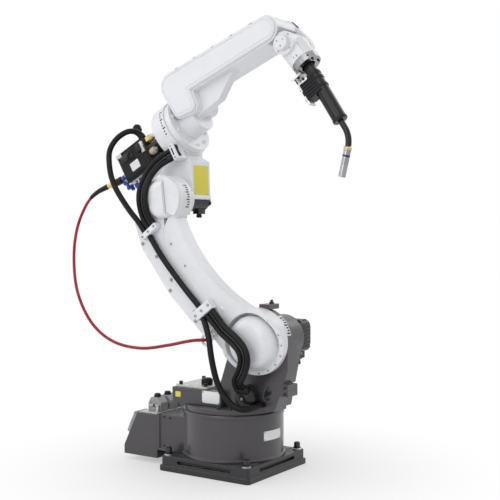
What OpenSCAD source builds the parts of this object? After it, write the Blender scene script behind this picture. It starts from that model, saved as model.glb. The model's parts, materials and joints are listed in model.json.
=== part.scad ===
// Six-axis arc-welding robot arm with a wire feeder on its elbow.
// Lengths in millimetres, +Z up, +X to the front of the arm.
// The origin is on the waist axis at floor level.

/* [Base] */
// Side of the square floor plate
plate_side = 400; // [380:1:440]
// Height of the floor plate
plate_h = 55; // [40:1:70]
// Height of the wider lower step of the floor plate
step_h = 20; // [12:1:30]
// How far the upper step of the plate stands back
step_in = 6; // [2:1:12]
// Spacing of the floor bolts along each side
bolt_spacing = 345; // [330:1:360]
// Bore for each floor bolt
bolt_bore = 14; // [11:0.5:18]
// Length of the long slot in each side of the plate
slot_len = 235; // [120:1:280]
// Height of the side slots
slot_h = 12; // [6:1:18]
// Depth of the side slots
slot_depth = 22; // [8:1:25]
// Radius of the base drum
drum_r = 187; // [175:1:195]
// Height of the top of the base drum over the floor
drum_top = 224; // [200:1:250]
// Width of the neck behind the drum
neck_w = 268; // [220:1:290]
// Distance from the waist axis to the back of the neck
neck_back = 260; // [230:1:290]
// Length of the connector box along its foot
box_len = 165; // [130:1:190]
// Length of the connector box along its lid
box_lid_len = 100; // [80:1:125]
// Height of the lid of the connector box
box_top = 188; // [170:1:195]
// Height of the underside of the connector box
box_low = 22; // [15:1:40]

/* [Column] */
// Radius of the turntable
turn_r = 181; // [170:1:187]
// Thickness of the turntable
turn_h = 20; // [14:1:30]
// Forward offset of the shoulder axis
shoulder_x = 180; // [160:1:200]
// Height of the shoulder axis over the floor
shoulder_z = 493; // [470:1:520]
// Thickness of the shoulder cheek
cheek_t = 66; // [50:1:80]
// Radius of the shoulder cheek about its axis
cheek_r = 117; // [108:1:119]
// Height of the waist motor box
motor_box_h = 58; // [45:1:75]

/* [Lower arm] */
// Length from shoulder axis to elbow axis
arm_len = 635; // [600:1:680]
// Lean of the arm back from vertical
arm_lean = 37; // [30:0.5:45]
// Distance of the far face of the arm from the mid plane
arm_far = 100; // [98:1:115]
// Thickness of the arm
arm_t = 65; // [55:1:80]
// Radius of the round flange at the shoulder
foot_r = 119.5; // [112:0.5:125]
// Radius of the round head at the elbow
head_r = 88; // [80:1:95]
// Thickness of the sheet that carries the cables
sheet_t = 3; // [2:0.5:5]

/* [Elbow] */
// Rise from the elbow axis to the forearm roll axis
elbow_rise = 254; // [240:1:270]
// Radius of the elbow hub
hub_r = 66; // [60:1:76]
// Radius of the roll housing
roll_r = 116; // [112:1:122]
// Distance along the forearm from the elbow to the roll joint
roll_face = 110; // [104:1:118]

/* [Forearm] */
// Length along the roll axis from the elbow to the wrist axis
fore_len = 664; // [640:1:700]
// Slope of the roll axis over the horizontal
fore_tilt = 29; // [24:0.5:34]
// Distance of the near face of the forearm beam from the mid plane
beam_near = 76; // [72:1:80]
// Distance of the far face of the forearm beam from the mid plane
beam_half = 60; // [58:1:66]
// Thickness of the side covers
cover_t = 11; // [6:1:14]
// How far the edge of the near cover stays inside the beam
cover_in = 6; // [3:1:9]
// Width of the groove that runs round each cover
groove_w = 4; // [2:0.5:6]
// Depth of the groove
groove_deep = 2.5; // [1:0.5:5]

/* [Wrist and torch] */
// Slope of the tool axis under the horizontal
tool_dip = 50; // [45:0.5:56]
// Distance from the wrist axis to the face of the tool flange
flange_out = 104; // [98:1:112]
// Radius of the tool flange
flange_r = 52; // [46:1:55]
// Angle between the torch and the tool axis
torch_turn = 7; // [0:0.5:12]
// Length of the torch handle
handle_len = 238; // [220:1:260]
// Radius of the torch handle
handle_r = 26; // [22:0.5:29]
// Radius of the bend in the torch neck
bend_r = 90; // [75:1:110]
// Angle of the bend in the torch neck
bend_angle = 46; // [35:1:55]
// Radius of the torch neck tube
neck_tube_r = 11; // [9:0.5:12]
// Length of the gas nozzle
nozzle_len = 92; // [80:1:105]
// Radius of the gas nozzle
nozzle_r = 13; // [12.5:0.5:15]

/* [Cables] */
// Radius of each corrugated conduit
conduit_r = 9.5; // [8:0.5:10]
// Radius of the feeder cable and the hose on the arm
hose_r = 11; // [9:0.5:12]
// Radius of the slim hose between the conduits
slim_r = 4.5; // [4:0.5:5]
// Radius of the wire liner
liner_r = 6; // [5:0.5:7]

/* [Hidden] */
$fn = 96;
// Running gap between the faces of a joint
run = 0.3;
// Running gap around the pin of a joint
fit = 0.08;
// How far a strip between two discs stays inside their tangents
shy = 0.04;
plate_half = plate_side / 2;
turn_low = drum_top + run;
turn_top = turn_low + turn_h;
waist_pin_r = 118;
waist_pin_h = 60;
shoulder_pin_r = 55;
elbow_pin_r = 42;
roll_pin_r = 62;
wrist_pin_r = 20;
tool_pin_r = 32;
pin_depth = 30;
arm_near = arm_far + arm_t;
rim_t = 22;
// Height of the ridge beside the elbow cover
ridge_h = 16;
cup_cut = 150;
elbow_x = shoulder_x - arm_len * sin(arm_lean);
elbow_z = shoulder_z + arm_len * cos(arm_lean);
cheek_near = arm_far - run;
cheek_far = cheek_near - cheek_t;
elbow_near = arm_far - run;
shoulder_far = 70;
motor_len = 106;
gland_x = shoulder_x - 38;
gland_z = turn_top + 46;
// Half the spacing of the two conduits that run side by side
lay = conduit_r + slim_r + 1.5;
elbow_face = 60;
elbow_far = 56;
neck_far = 56;
elbow_motor_r = 43;
roll_back = 40;
feeder_front = -48;
feeder_rear = -196;
feeder_low = -66;
feeder_top = 56;
feeder_near = -60;
bracket_b = elbow_rise - 100;
wrist_near = 64;
wrist_far = 54;
nose_near = wrist_far + run;
// Centres of the arcs that bound the side of the forearm, along the roll axis and over it
fore_heel = [roll_face + 76, 132];
fore_tip = [fore_len - 34, 79];
fore_toe = [roll_face + 62, 36];
fore_ball = [roll_face + 112, 22];
fore_instep = [roll_face + 114, 103];
far_end = [fore_len - 144, 92];
flange_end = roll_face + 24;
groove_in = 9;
// Step round the rim of each cover
rim_step = 3;
drum_end = roll_face + 95;
neck_r = 60;
gusset_near = 42;
gusset_far = 0;
nose_t = 30;
barrel_len = flange_out - 26;
motor_wall = 135;
motor_back = -190;
dark = [0.23, 0.22, 0.24];
white = [0.90, 0.91, 0.94];
black = [0.06, 0.06, 0.07];
steel = [0.70, 0.71, 0.73];
pale = [0.80, 0.81, 0.80];

// Extrude a side outline, drawn as x and z, between two planes of y.
module side(y0, y1) {
    translate([0, y1, 0])
        rotate([90, 0, 0])
            linear_extrude(y1 - y0)
                children();
}

// A round bar along y between two planes.
module bar_y(r, y0, y1) {
    translate([0, y1, 0])
        rotate([90, 0, 0])
            cylinder(r = r, h = y1 - y0);
}

// A round bar along x between two planes.
module bar_x(r, x0, x1) {
    translate([x0, 0, 0])
        rotate([0, 90, 0])
            cylinder(r = r, h = x1 - x0);
}

// A block between two corners.
module block(a, b) {
    translate(a)
        cube(b - a);
}

// Flat strip between two discs, along their outer tangents and a hair inside them.
module strip(a, b) {
    d = norm(b[0] - a[0]);
    t = atan2(b[0][1] - a[0][1], b[0][0] - a[0][0]);
    k = acos((a[1] - b[1]) / d);
    ra = a[1] - shy;
    rb = b[1] - shy;
    polygon([a[0] + ra * [cos(t + k), sin(t + k)], b[0] + rb * [cos(t + k), sin(t + k)],
        b[0] + rb * [cos(t - k), sin(t - k)], a[0] + ra * [cos(t - k), sin(t - k)]]);
}

// Flat outline of discs, each given as centre and radius and joined to the next one.
module chain(discs) {
    for (d = discs)
        translate(d[0])
            circle(r = d[1]);
    for (i = [1 : len(discs) - 1])
        strip(discs[i - 1], discs[i]);
}

// Flat rectangle with round corners.
module round_rect(a, b, r) {
    translate(a + [r, 0])
        square(b - a - [2 * r, 0]);
    translate(a + [0, r])
        square(b - a - [0, 2 * r]);
    for (x = [a[0] + r, b[0] - r], y = [a[1] + r, b[1] - r])
        translate([x, y])
            circle(r = r);
}

// Revolved cap with a rounded shoulder, its foot on z = 0.
module dome(r, h, edge) {
    rotate_extrude() {
        square([r - edge, h]);
        square([r, h - edge]);
        translate([r - edge, h - edge])
            intersection() {
                circle(r = edge);
                square(edge);
            }
    }
}

// Frame of the lower arm: x runs from shoulder to elbow, z to the back.
module on_arm() {
    translate([shoulder_x, 0, shoulder_z])
        rotate([0, -90 - arm_lean, 0])
            children();
}

// Frame of the elbow: x runs along the forearm, z up from the elbow axis.
module on_elbow() {
    translate([elbow_x, 0, elbow_z])
        rotate([0, -fore_tilt, 0])
            children();
}

// Frame of the forearm: x is the roll axis.
module on_roll() {
    on_elbow()
        translate([0, 0, elbow_rise])
            children();
}

// Frame of the wrist: x is the tool axis, the origin is on the wrist axis.
module on_wrist() {
    on_roll()
        translate([fore_len, 0, 0])
            rotate([0, fore_tilt + tool_dip, 0])
                children();
}

// Frame of the torch: x is the torch axis, from the face of the tool flange.
module on_torch() {
    on_wrist()
        translate([flange_out, 0, 0])
            rotate([0, torch_turn, 0])
                children();
}

// Point on a smooth curve through the points of a path, with t counted in spans.
function smooth(p, t) = let (n = len(p), i = min(floor(t), n - 2), f = t - i,
        a = p[max(i - 1, 0)], b = p[i], c = p[i + 1], d = p[min(i + 2, n - 1)])
    0.5 * ((2 * b) + (c - a) * f + (2 * a - 5 * b + 4 * c - d) * f * f
        + (3 * b - a - 3 * c + d) * f * f * f);
function unit(v) = v / norm(v);
function heading(p, t) = let (n = len(p) - 1)
    unit(smooth(p, min(t + 0.02, n)) - smooth(p, max(t - 0.02, 0)));

// Tube of round section swept along a path, set off sideways by a distance.
module cord(path, r, off = 0, per = 5, sides = 10) {
    rings = (len(path) - 1) * per;
    verts = [for (k = [0 : rings]) let (t = k / per, h = heading(path, t),
            s = unit(cross(h, [0, 1, 0])), u = cross(s, h), m = smooth(path, t) + off * s)
        for (j = [0 : sides - 1]) m + r * (cos(360 * j / sides) * s + sin(360 * j / sides) * u)];
    walls = [for (k = [0 : rings - 1], j = [0 : sides - 1]) let (n = (j + 1) % sides)
        [k * sides + j, k * sides + n, (k + 1) * sides + n, (k + 1) * sides + j]];
    polyhedron(points = verts, faces = concat(walls, [[for (j = [sides - 1 : -1 : 0]) j],
        [for (j = [0 : sides - 1]) rings * sides + j]]));
}

module base_plate() {
    color(dark)
        difference() {
            union() {
                linear_extrude(step_h)
                    round_rect([-plate_half, -plate_half], [plate_half, plate_half], 14);
                linear_extrude(plate_h)
                    round_rect([step_in - plate_half, step_in - plate_half],
                        [plate_half - step_in, plate_half - step_in], 14);
            }
            for (q = [0 : 90 : 270])
                rotate(q)
                    translate([-slot_len / 2, -plate_half - 1, step_h + 10])
                        cube([slot_len, slot_depth + 1, slot_h]);
            for (x = [-1, 1], y = [-1, 1])
                translate([x * bolt_spacing / 2, y * bolt_spacing / 2, -1])
                    cylinder(d = bolt_bore, h = plate_h + 2);
        }
}

module base_drum() {
    color(dark)
        difference() {
            union() {
                translate([0, 0, plate_h])
                    cylinder(r = drum_r, h = drum_top - plate_h);
                translate([0, 0, plate_h])
                    linear_extrude(box_top + 6 - plate_h)
                        translate([-neck_back, -neck_w / 2])
                            square([neck_back, neck_w]);
                translate([0, 0, plate_h])
                    cylinder(r = drum_r + 6, h = 10);
            }
            for (y = [-1, 1])
                translate([-neck_back + 12, y * neck_w / 2 - 6, plate_h + 8])
                    cube([38, 12, box_top - plate_h]);
            translate([0, 0, drum_top - waist_pin_h - 1])
                cylinder(r = waist_pin_r + fit, h = waist_pin_h + 2);
            for (x = [-1, 1], y = [-1, 1])
                translate([x * bolt_spacing / 2, y * bolt_spacing / 2, plate_h - 1])
                    cylinder(r = 19, h = drum_top);
        }
}

module connector_box() {
    color(dark)
        side(-neck_w / 2 + 2, neck_w / 2 - 2)
            polygon([[-neck_back, box_low], [-neck_back, box_top], [-neck_back - box_lid_len, box_top],
                [-neck_back - box_len, box_low + 34], [-neck_back - box_len, box_low]]);
}

module connector_lid() {
    color(pale)
        translate([0, 0, box_top])
            linear_extrude(4)
                round_rect([-neck_back - box_lid_len + 6, -neck_w / 2 + 8],
                    [-neck_back - 6, neck_w / 2 - 8], 6);
}

module connector_blocks() {
    color([0.42, 0.42, 0.43])
        translate([0, 0, box_top + 4])
            for (y = [-96, -34, 28])
                translate([-neck_back - 74, y, 0])
                    side(0, 46)
                        polygon([[0, 0], [62, 0], [62, 34], [44, 52], [12, 52], [0, 30]]);
}

module rear_plug() {
    color([0.30, 0.30, 0.31])
        translate([-neck_back - box_lid_len, 0, box_top])
            rotate([0, atan2(box_len - box_lid_len, box_top - box_low - 34), 0])
                for (y = [-98, 12])
                    block([-34, y, -112], [0, y + 72, -22]);
}

module turntable() {
    color(dark)
        difference() {
            union() {
                translate([0, 0, turn_low])
                    cylinder(r = turn_r, h = turn_h);
                translate([0, 0, drum_top - waist_pin_h])
                    cylinder(r = waist_pin_r, h = waist_pin_h + turn_h);
            }
            translate([0, 0, drum_top - waist_pin_h - 1])
                cylinder(r = 60, h = waist_pin_h + turn_h + 2);
        }
}

module shoulder_casting() {
    color(dark) {
        difference() {
            union() {
                side(-cheek_near, -cheek_near + 34)
                    translate([shoulder_x, shoulder_z])
                        circle(r = cheek_r);
                side(-cheek_near, -cheek_far) {
                    translate([shoulder_x, shoulder_z])
                        circle(r = cheek_r - 14);
                    polygon([[shoulder_x + cheek_r, shoulder_z], [shoulder_x + cheek_r, shoulder_z - 100],
                        [shoulder_x + 62, turn_top], [-18, turn_top], [shoulder_x - cheek_r, shoulder_z]]);
                }
                side(-cheek_far, shoulder_far) {
                    translate([shoulder_x, shoulder_z])
                        circle(r = 84);
                    polygon([[shoulder_x + 76, shoulder_z - 30], [shoulder_x + 30, turn_top], [60, turn_top],
                        [shoulder_x - 80, shoulder_z - 20]]);
                }
                translate([shoulder_x, 0, shoulder_z])
                    bar_y(shoulder_pin_r, -cheek_near - pin_depth, -cheek_far);
                translate([0, 0, turn_top])
                    linear_extrude(16)
                        intersection() {
                            circle(r = turn_r - 4);
                            translate([40, -cheek_near])
                                square([150, cheek_near + 130]);
                        }
                for (x = [shoulder_x + 16, shoulder_x + 50])
                    block([x, -cheek_near + 10, turn_top], [x + 10, -cheek_far + 20, shoulder_z - 90]);
            }
            translate([shoulder_x + 34, 0, turn_top + 62])
                rotate([0, 20, 0])
                    side(-cheek_near - 1, 100)
                        chain([[[0, -12], 13], [[0, 14], 13]]);
        }
        side(-cheek_near, -cheek_far) {
            translate([shoulder_x - 2, shoulder_z + cheek_r - 4])
                square([44, 18]);
            translate([shoulder_x + cheek_r - 38, turn_top + 58])
                square([40, 42]);
        }
    }
}

module motor_box() {
    color(dark)
        translate([0, 0, turn_top])
            linear_extrude(motor_box_h) {
                round_rect([motor_back, -motor_wall], [-24, 60], 16);
                round_rect([motor_back, -motor_wall], [36, -cheek_near - 5], 10);
            }
}

module motor_box_lid() {
    color(pale)
        translate([0, 0, turn_top + motor_box_h])
            linear_extrude(8)
                round_rect([motor_back + 10, -motor_wall + 10], [-34, 50], 12);
}

module motor_box_knobs() {
    color(black)
        translate([0, 0, turn_top + motor_box_h + 8]) {
            for (x = [motor_back + 26, -50], y = [-motor_wall + 26, 34])
                translate([x, y, 0])
                    cylinder(r = 7, h = 12);
            translate([-72, -70, 0])
                cylinder(r = 20, h = 24);
        }
}

module shoulder_motor() {
    color(black)
        translate([shoulder_x, 0, shoulder_z]) {
            side(shoulder_far, shoulder_far + 14)
                round_rect([-66, -66], [66, 66], 12);
            side(shoulder_far + 14, shoulder_far + motor_len - 18)
                round_rect([-58, -58], [58, 58], 20);
            side(shoulder_far + motor_len - 18, shoulder_far + motor_len)
                round_rect([-50, -50], [50, 50], 22);
            block([-24, shoulder_far + 30, -84], [40, shoulder_far + 80, -58]);
        }
}

module conduit_gland() {
    color(black)
        translate([gland_x, -cheek_near, gland_z]) {
            rotate([90, 0, 0])
                dome(42, 56, 30);
            translate([0, -26, 0])
                rotate([45, 0, 0])
                    for (s = [[-lay, conduit_r], [0, slim_r], [lay, conduit_r]])
                        translate([s[0], 0, 0])
                            cylinder(r = s[1] + 1, h = 62);
        }
}

// Side outline of the arm, drawn as distance along it and to its back.
module arm_body_outline() {
    difference() {
        polygon([[foot_r / 6, -0.92 * foot_r], [0.67 * foot_r, -0.837 * foot_r], [arm_len - 35, -60],
            [arm_len + 62, 40], [arm_len + 8, 1.41 * head_r], [arm_len - 75, 1.66 * head_r],
            [0.63 * arm_len, 1.625 * head_r], [1.506 * foot_r, 1.096 * foot_r], [foot_r / 3, 0.937 * foot_r]]);
        translate([0.63 * arm_len, -0.984 * arm_len])
            circle(r = 1.0047 * arm_len, $fn = 360);
    }
}

module arm_casting() {
    color(white)
        on_arm()
            difference() {
                union() {
                    bar_y(foot_r, -arm_far - rim_t, -arm_far);
                    translate([arm_len, 0, 0])
                        bar_y(head_r, -arm_near, -arm_far);
                    side(-arm_near, -arm_far)
                        arm_body_outline();
                    difference() {
                        bar_y(foot_r, -arm_near, -arm_far - 1);
                        translate([24, -arm_near, -cup_cut])
                            rotate([0, 0, -atan2(arm_t - rim_t, foot_r + 8)])
                                translate([-2 * cup_cut, -2 * cup_cut, 0])
                                    cube([2 * cup_cut, 2 * cup_cut, 2 * cup_cut]);
                    }
                    side(-arm_near - ridge_h, -arm_near + 1)
                        intersection() {
                            translate([arm_len, 0])
                                circle(r = head_r - 3);
                            translate([arm_len, 0])
                                polygon([[44, -48], [-57, 11], [-100, -20], [-100, -100], [100, -100]]);
                        }
                }
                side(-arm_near - 1, -arm_near + 34)
                    polygon([[arm_len - 54, 40], [arm_len - 61, 14], [arm_len - 84, 58]]);
                bar_y(104, -arm_near - 1, -arm_far - rim_t);
                bar_y(shoulder_pin_r + fit, -arm_near - 1, -arm_far + 1);
                translate([arm_len, 0, 0])
                    bar_y(elbow_pin_r + fit, -arm_far - pin_depth - 2, -arm_far + 1);
            }
}

module shoulder_dome() {
    color(white)
        on_arm()
            translate([0, -arm_far - rim_t, 0])
                rotate([90, 0, 0])
                    difference() {
                        dome(94, 62, 42);
                        translate([0, 0, -1])
                            cylinder(r = shoulder_pin_r + fit, h = 12);
                    }
}

module elbow_dome() {
    color(white)
        on_arm()
            translate([arm_len, -arm_near, 0])
                difference() {
                    rotate([90, 0, 0])
                        dome(72, 30, 26);
                    side(-40, 1)
                        polygon([[45, -47.2], [-56, 11.8], [-101, -18], [-101, -101], [101, -101]]);
                }
}

module cable_sheet() {
    color(white)
        on_arm()
            side(-arm_near - sheet_t, -arm_near)
                polygon([[136, 40], [136, 150], [180, 158], [335, 186], [arm_len - 85, 190],
                    [arm_len + 13, 160], [arm_len - 15, 118], [arm_len - 45, 64], [arm_len - 89, 64],
                    [arm_len - 135, 96], [300, 76], [220, 40]]);
}

module lower_clamp() {
    color(white)
        on_arm()
            block([176, -arm_near - 36, 36], [212, -arm_near - sheet_t, 122]);
}

module upper_clamp() {
    color(white)
        on_arm()
            block([arm_len - 79, -arm_near - 34, 66], [arm_len - 57, -arm_near - sheet_t, 150]);
}

module guide_ring() {
    color(white)
        on_arm()
            translate([108, 0, 146])
                difference() {
                    union() {
                        bar_y(24, -arm_near - 8, -arm_near);
                        side(-arm_near - 8, -arm_near)
                            polygon([[-16, -46], [16, -46], [16, -10], [-16, -10]]);
                    }
                    bar_y(15, -arm_near - 9, -arm_near + 1);
                }
}

module arm_hose() {
    color(black)
        cord(arm_hose_path, hose_r);
}

// Side outline of the elbow block, drawn in the frame of the elbow.
module elbow_block_outline() {
    chain([[[0, 0], 58], [[-2, 92], 58]]);
    polygon([[50, -24], [115, 103], [104, 124], [62, 145], [-2, 150], [-20, 92], [-20, 11]]);
}

module elbow_casting() {
    color(white)
        difference() {
            union() {
                on_elbow() {
                    bar_y(hub_r, -elbow_near, -elbow_face);
                    side(-elbow_face, elbow_far)
                        difference() {
                            elbow_block_outline();
                            rotate(atan2(-35, 70))
                                translate([-200, -200])
                                    square([400, 200]);
                        }
                    side(-elbow_face + 14, neck_far)
                        polygon([[-22, 110], [-10, 150], [roll_back, elbow_rise - 76], [roll_back, elbow_rise - 60],
                            [roll_face - 1, elbow_rise - 60], [roll_face - 1, 166], [98, 140], [94, 110], [0, 90]]);
                    bar_y(elbow_pin_r, -elbow_near - pin_depth, -elbow_near + 1);
                }
                on_roll() {
                    bar_x(roll_r, roll_back + 10, roll_face);
                    bar_x(roll_r - 7, roll_back, roll_face);
                }
            }
            on_roll() {
                bar_x(roll_pin_r + fit, roll_face - pin_depth - 2, roll_face + 1);
                bar_x(34, roll_back - 1, roll_face);
            }
            on_elbow()
                bar_y(elbow_motor_r + run, -elbow_face + 6, elbow_far + 1);
        }
}

module elbow_motor() {
    color(black)
        on_elbow() {
            bar_y(elbow_motor_r, -elbow_face + 6, elbow_far + 12);
            side(elbow_far + 12, elbow_far + 20)
                round_rect([-36, -36], [36, 36], 10);
            rotate([0, fore_tilt, 0]) {
                block([-34, -elbow_face + 30, -elbow_motor_r - 12], [-6, -elbow_face + 64, -elbow_motor_r + 8]);
                block([2, -elbow_face + 74, -elbow_motor_r - 10], [30, elbow_far, -elbow_motor_r + 12]);
            }
        }
}

module hose_bracket() {
    color(white)
        difference() {
            on_elbow()
                difference() {
                    block([roll_face - 30, -elbow_face - 54, bracket_b - lay - conduit_r - 8],
                        [roll_face - 6, -elbow_face, bracket_b + lay + conduit_r + 8]);
                    translate([0, -elbow_face - 37, bracket_b])
                        block([roll_face - 31, -conduit_r - run, -lay - conduit_r - run],
                            [roll_face - 5, conduit_r + run, lay + conduit_r + run]);
                }
            on_roll()
                bar_x(roll_r, 34, roll_face);
        }
}

module feeder_bracket() {
    color(steel)
        on_roll() {
            block([feeder_rear - 4, -50, feeder_low - 8], [roll_back, 40, feeder_low]);
            block([roll_back - 8, -50, feeder_low - 8], [roll_back, 40, feeder_low + 26]);
        }
}

module feeder_box() {
    color(black)
        on_roll() {
            side(feeder_near, 44)
                round_rect([feeder_rear, feeder_low], [feeder_front, feeder_top], 6);
            side(feeder_near - 6, feeder_near)
                round_rect([feeder_rear + 6, feeder_low + 6], [feeder_front - 6, feeder_top - 16], 4);
        }
}

module feeder_outlet() {
    color(steel)
        on_roll() {
            bar_x(20, feeder_front, roll_back);
            bar_x(12, feeder_front + 18, roll_back + 52);
            translate([0, -34, 40])
                bar_x(11, feeder_front, roll_back - 2);
        }
}

module feeder_fittings() {
    color([0.16, 0.24, 0.55])
        on_roll()
            for (x = [-150, -122])
                translate([x, -30, feeder_low - 8])
                    rotate([180, 0, 0])
                        cylinder(r = 9, h = 26);
}

module feeder_inlet() {
    color([0.62, 0.50, 0.25])
        on_roll()
            translate([0, -20, -20]) {
                bar_x(15, feeder_rear - 20, feeder_rear);
                bar_x(10, feeder_rear - 44, feeder_rear - 20);
            }
}

// Side outline of the forearm, drawn along the roll axis and over it.
module fore_outline(inset) {
    chain([[fore_tip, 50 - inset], [fore_heel, 57 - inset], [fore_toe, 34 - inset],
        [fore_ball, 31 - inset], [fore_instep, 36 - inset]]);
    polygon([fore_toe, fore_ball, fore_instep, fore_heel]);
}

module forearm_casting() {
    color(white)
        on_roll()
            difference() {
                union() {
                    bar_x(roll_r - 6, roll_face + run, flange_end);
                    bar_x(neck_r, flange_end - 4, drum_end);
                    bar_x(roll_pin_r, roll_face - pin_depth, roll_face + 20);
                    side(-beam_near, beam_half)
                        fore_outline(0);
                    side(-gusset_near, gusset_far)
                        polygon([[drum_end - 30, -20], [drum_end + 39, -12], [drum_end + 119, -10],
                            [drum_end + 175, 22], [drum_end + 235, 52], [drum_end + 235, 76], [drum_end - 30, 76]]);
                }
                bar_x(30, roll_face - pin_depth - 1, drum_end - 25);
                translate([fore_len, 0, 0])
                    bar_y(62, -beam_near + 6, beam_half + 1);
            }
}

module side_cover() {
    face = -beam_near - cover_t;
    color(white)
        on_roll()
            difference() {
                union() {
                    side(face + rim_step, -beam_near)
                        fore_outline(cover_in);
                    side(face, face + rim_step + 1)
                        fore_outline(cover_in + rim_step);
                }
                side(face - 1, face + groove_deep)
                    difference() {
                        fore_outline(cover_in + groove_in);
                        fore_outline(cover_in + groove_in + groove_w);
                    }
            }
}

// Side outline of the far cover, drawn like the forearm's.
module far_outline(inset) {
    chain([[fore_heel, 50 - inset], [far_end, 44 - inset]]);
}

module far_cover() {
    face = beam_half + cover_t;
    color(white)
        on_roll()
            difference() {
                union() {
                    side(beam_half, face - rim_step)
                        far_outline(0);
                    side(face - rim_step - 1, face)
                        far_outline(rim_step);
                }
                side(face - groove_deep, face + 1)
                    difference() {
                        far_outline(groove_in);
                        far_outline(groove_in + groove_w);
                    }
            }
}

module wrist_nose() {
    color(white)
        on_roll()
            difference() {
                union() {
                    side(beam_half, nose_near + nose_t)
                        chain([[[fore_len - 32, 86], 46], [[fore_len, 0], 43]]);
                    translate([fore_len, 0, 0])
                        bar_y(40, nose_near, beam_half);
                }
                translate([fore_len, 0, 0])
                    bar_y(wrist_pin_r + fit, nose_near - 1, nose_near + nose_t + 1);
            }
}

module wrist_housing() {
    color(white)
        on_wrist()
            difference() {
                union() {
                    bar_y(42, -wrist_near, wrist_far);
                    bar_y(wrist_pin_r, wrist_far - 1, nose_near + nose_t - 4);
                    bar_x(flange_r, 8, barrel_len);
                }
                bar_x(tool_pin_r + fit, barrel_len - pin_depth - 2, barrel_len + 1);
            }
}

module wrist_cap() {
    color(white)
        on_wrist()
            translate([0, -wrist_near, 0])
                rotate([90, 0, 0])
                    dome(27, 22, 5);
}

module tool_flange() {
    color(steel)
        on_wrist()
            difference() {
                union() {
                    bar_x(flange_r, barrel_len + run, flange_out);
                    bar_x(tool_pin_r, barrel_len - pin_depth, flange_out);
                }
                bar_x(27, barrel_len - pin_depth - 1, flange_out + 1);
            }
}

module torch_bracket() {
    color(steel)
        union() {
            on_wrist()
                block([flange_out, -26, -70], [flange_out + 9, 26, -30]);
            on_torch()
                block([8, -20, -66], [124, 20, -56]);
        }
}

module torch_clamp() {
    color(black)
        on_torch()
            difference() {
                block([46, -29, -56], [112, 29, 10]);
                bar_x(handle_r + run, 45, 113);
            }
}

module torch_handle() {
    color(black)
        on_torch() {
            bar_x(21.5, -16, 30);
            bar_x(handle_r, 30, handle_len);
        }
}

module torch_neck() {
    color(black)
        on_torch()
            translate([handle_len, 0, 0]) {
                bar_x(neck_tube_r, 0, 28);
                translate([28, 0, -bend_r])
                    rotate([90, 90, 0])
                        rotate_extrude(angle = -bend_angle)
                            translate([-bend_r, 0])
                                circle(r = neck_tube_r);
            }
}

// Frame at the end of the neck bend, with x toward the tip.
module on_nozzle() {
    on_torch()
        translate([handle_len + 28 + bend_r * sin(bend_angle), 0, -bend_r * (1 - cos(bend_angle))])
            rotate([0, bend_angle, 0])
                children();
}

module torch_nozzle() {
    color(steel)
        on_nozzle()
            difference() {
                union() {
                    bar_x(14, 0, 12);
                    bar_x(nozzle_r, 12, 12 + nozzle_len);
                }
                bar_x(nozzle_r - 3, 30, 13 + nozzle_len);
            }
}

module contact_tip() {
    color([0.72, 0.42, 0.25])
        on_nozzle()
            bar_x(4, 30, 8 + nozzle_len);
}

// Routes of the cables, as points through which each one runs.
arm_hose_path = [[-251.9, -183, 863.5], [-244.8, -183, 854.1], [-226, -184, 829], [-206, -186, 804.5],
    [-172, -188, 766], [-136, -188.5, 728], [-101, -188, 691], [-68, -186.5, 656.5], [-46, -185, 634.5],
    [-28.3, -184, 616.5], [-21.4, -184, 607.4]];
lower_conduit_path = [[23.4, -186, 594.5], [30.2, -186, 585.5], [50, -189, 569.5], [87, -197, 537],
    [134, -211, 513], [177, -222, 486], [198, -226, 456], [195, -221, 424], [172, -208, 387],
    [149, -194, 362], [142, -181.5, 346.1], [142, -170.3, 334.9]];
lower_feed_path = [[-7, -185, 571.6], [-0.2, -185, 562.6], [16, -196, 540], [35, -206, 505],
    [48, -212, 449], [61, -212, 393], [77, -208, 340], [104, -204, 300], [140, -196, 266],
    [176, -174, 259], [196, -122, 268], [196, -100.2, 268]];
upper_conduit_path = [[-186.3, -97, 1185], [-205, -97.5, 1174.6], [-228, -107, 1160.5],
    [-250, -128, 1141], [-265, -158, 1106], [-270.5, -186, 1066], [-270.5, -206, 1021],
    [-268.5, -205, 975], [-264, -192, 933], [-250.8, -184, 910], [-242.8, -183.5, 899.4]];
upper_feed_path = [[-405.5, -40, 1243], [-413, -40, 1256.5], [-420, -56, 1268],
    [-440, -84, 1270], [-478, -108, 1242], [-498, -128, 1195], [-488, -142, 1147], [-470, -154, 1101],
    [-439, -164, 1050], [-394, -172, 999], [-346, -180, 952], [-308, -183, 918],
    [-281.7, -183.5, 886.4], [-273.7, -183.5, 875.8]];
liner_path = [[-525.9, -20, 1088.2], [-541, -20, 1079.8], [-600, -24, 1060], [-658, -32, 1034],
    [-700, -42, 990], [-735, -60, 895], [-731, -85, 776], [-689, -110, 638], [-596, -130, 520],
    [-466, -150, 455], [-313, -166, 440], [-171, -180, 462], [-90, -190, 480], [-40, -194, 490],
    [-12, -186, 492], [-1, -169, 491], [-1, -150, 491]];

module lower_conduits() {
    color(black) {
        for (o = [-1, 1])
            cord(lower_conduit_path, conduit_r, o * lay);
        cord(lower_conduit_path, slim_r);
    }
}

module lower_feed_cable() {
    color(black)
        cord(lower_feed_path, hose_r);
}

module upper_conduits() {
    color(black) {
        for (o = [-1, 1])
            cord(upper_conduit_path, conduit_r, o * lay);
        cord(upper_conduit_path, slim_r);
    }
}

module upper_feed_cable() {
    color(black)
        cord(upper_feed_path, hose_r);
}

module wire_liner() {
    color([0.55, 0.10, 0.14])
        cord(liner_path, liner_r);
}

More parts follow.
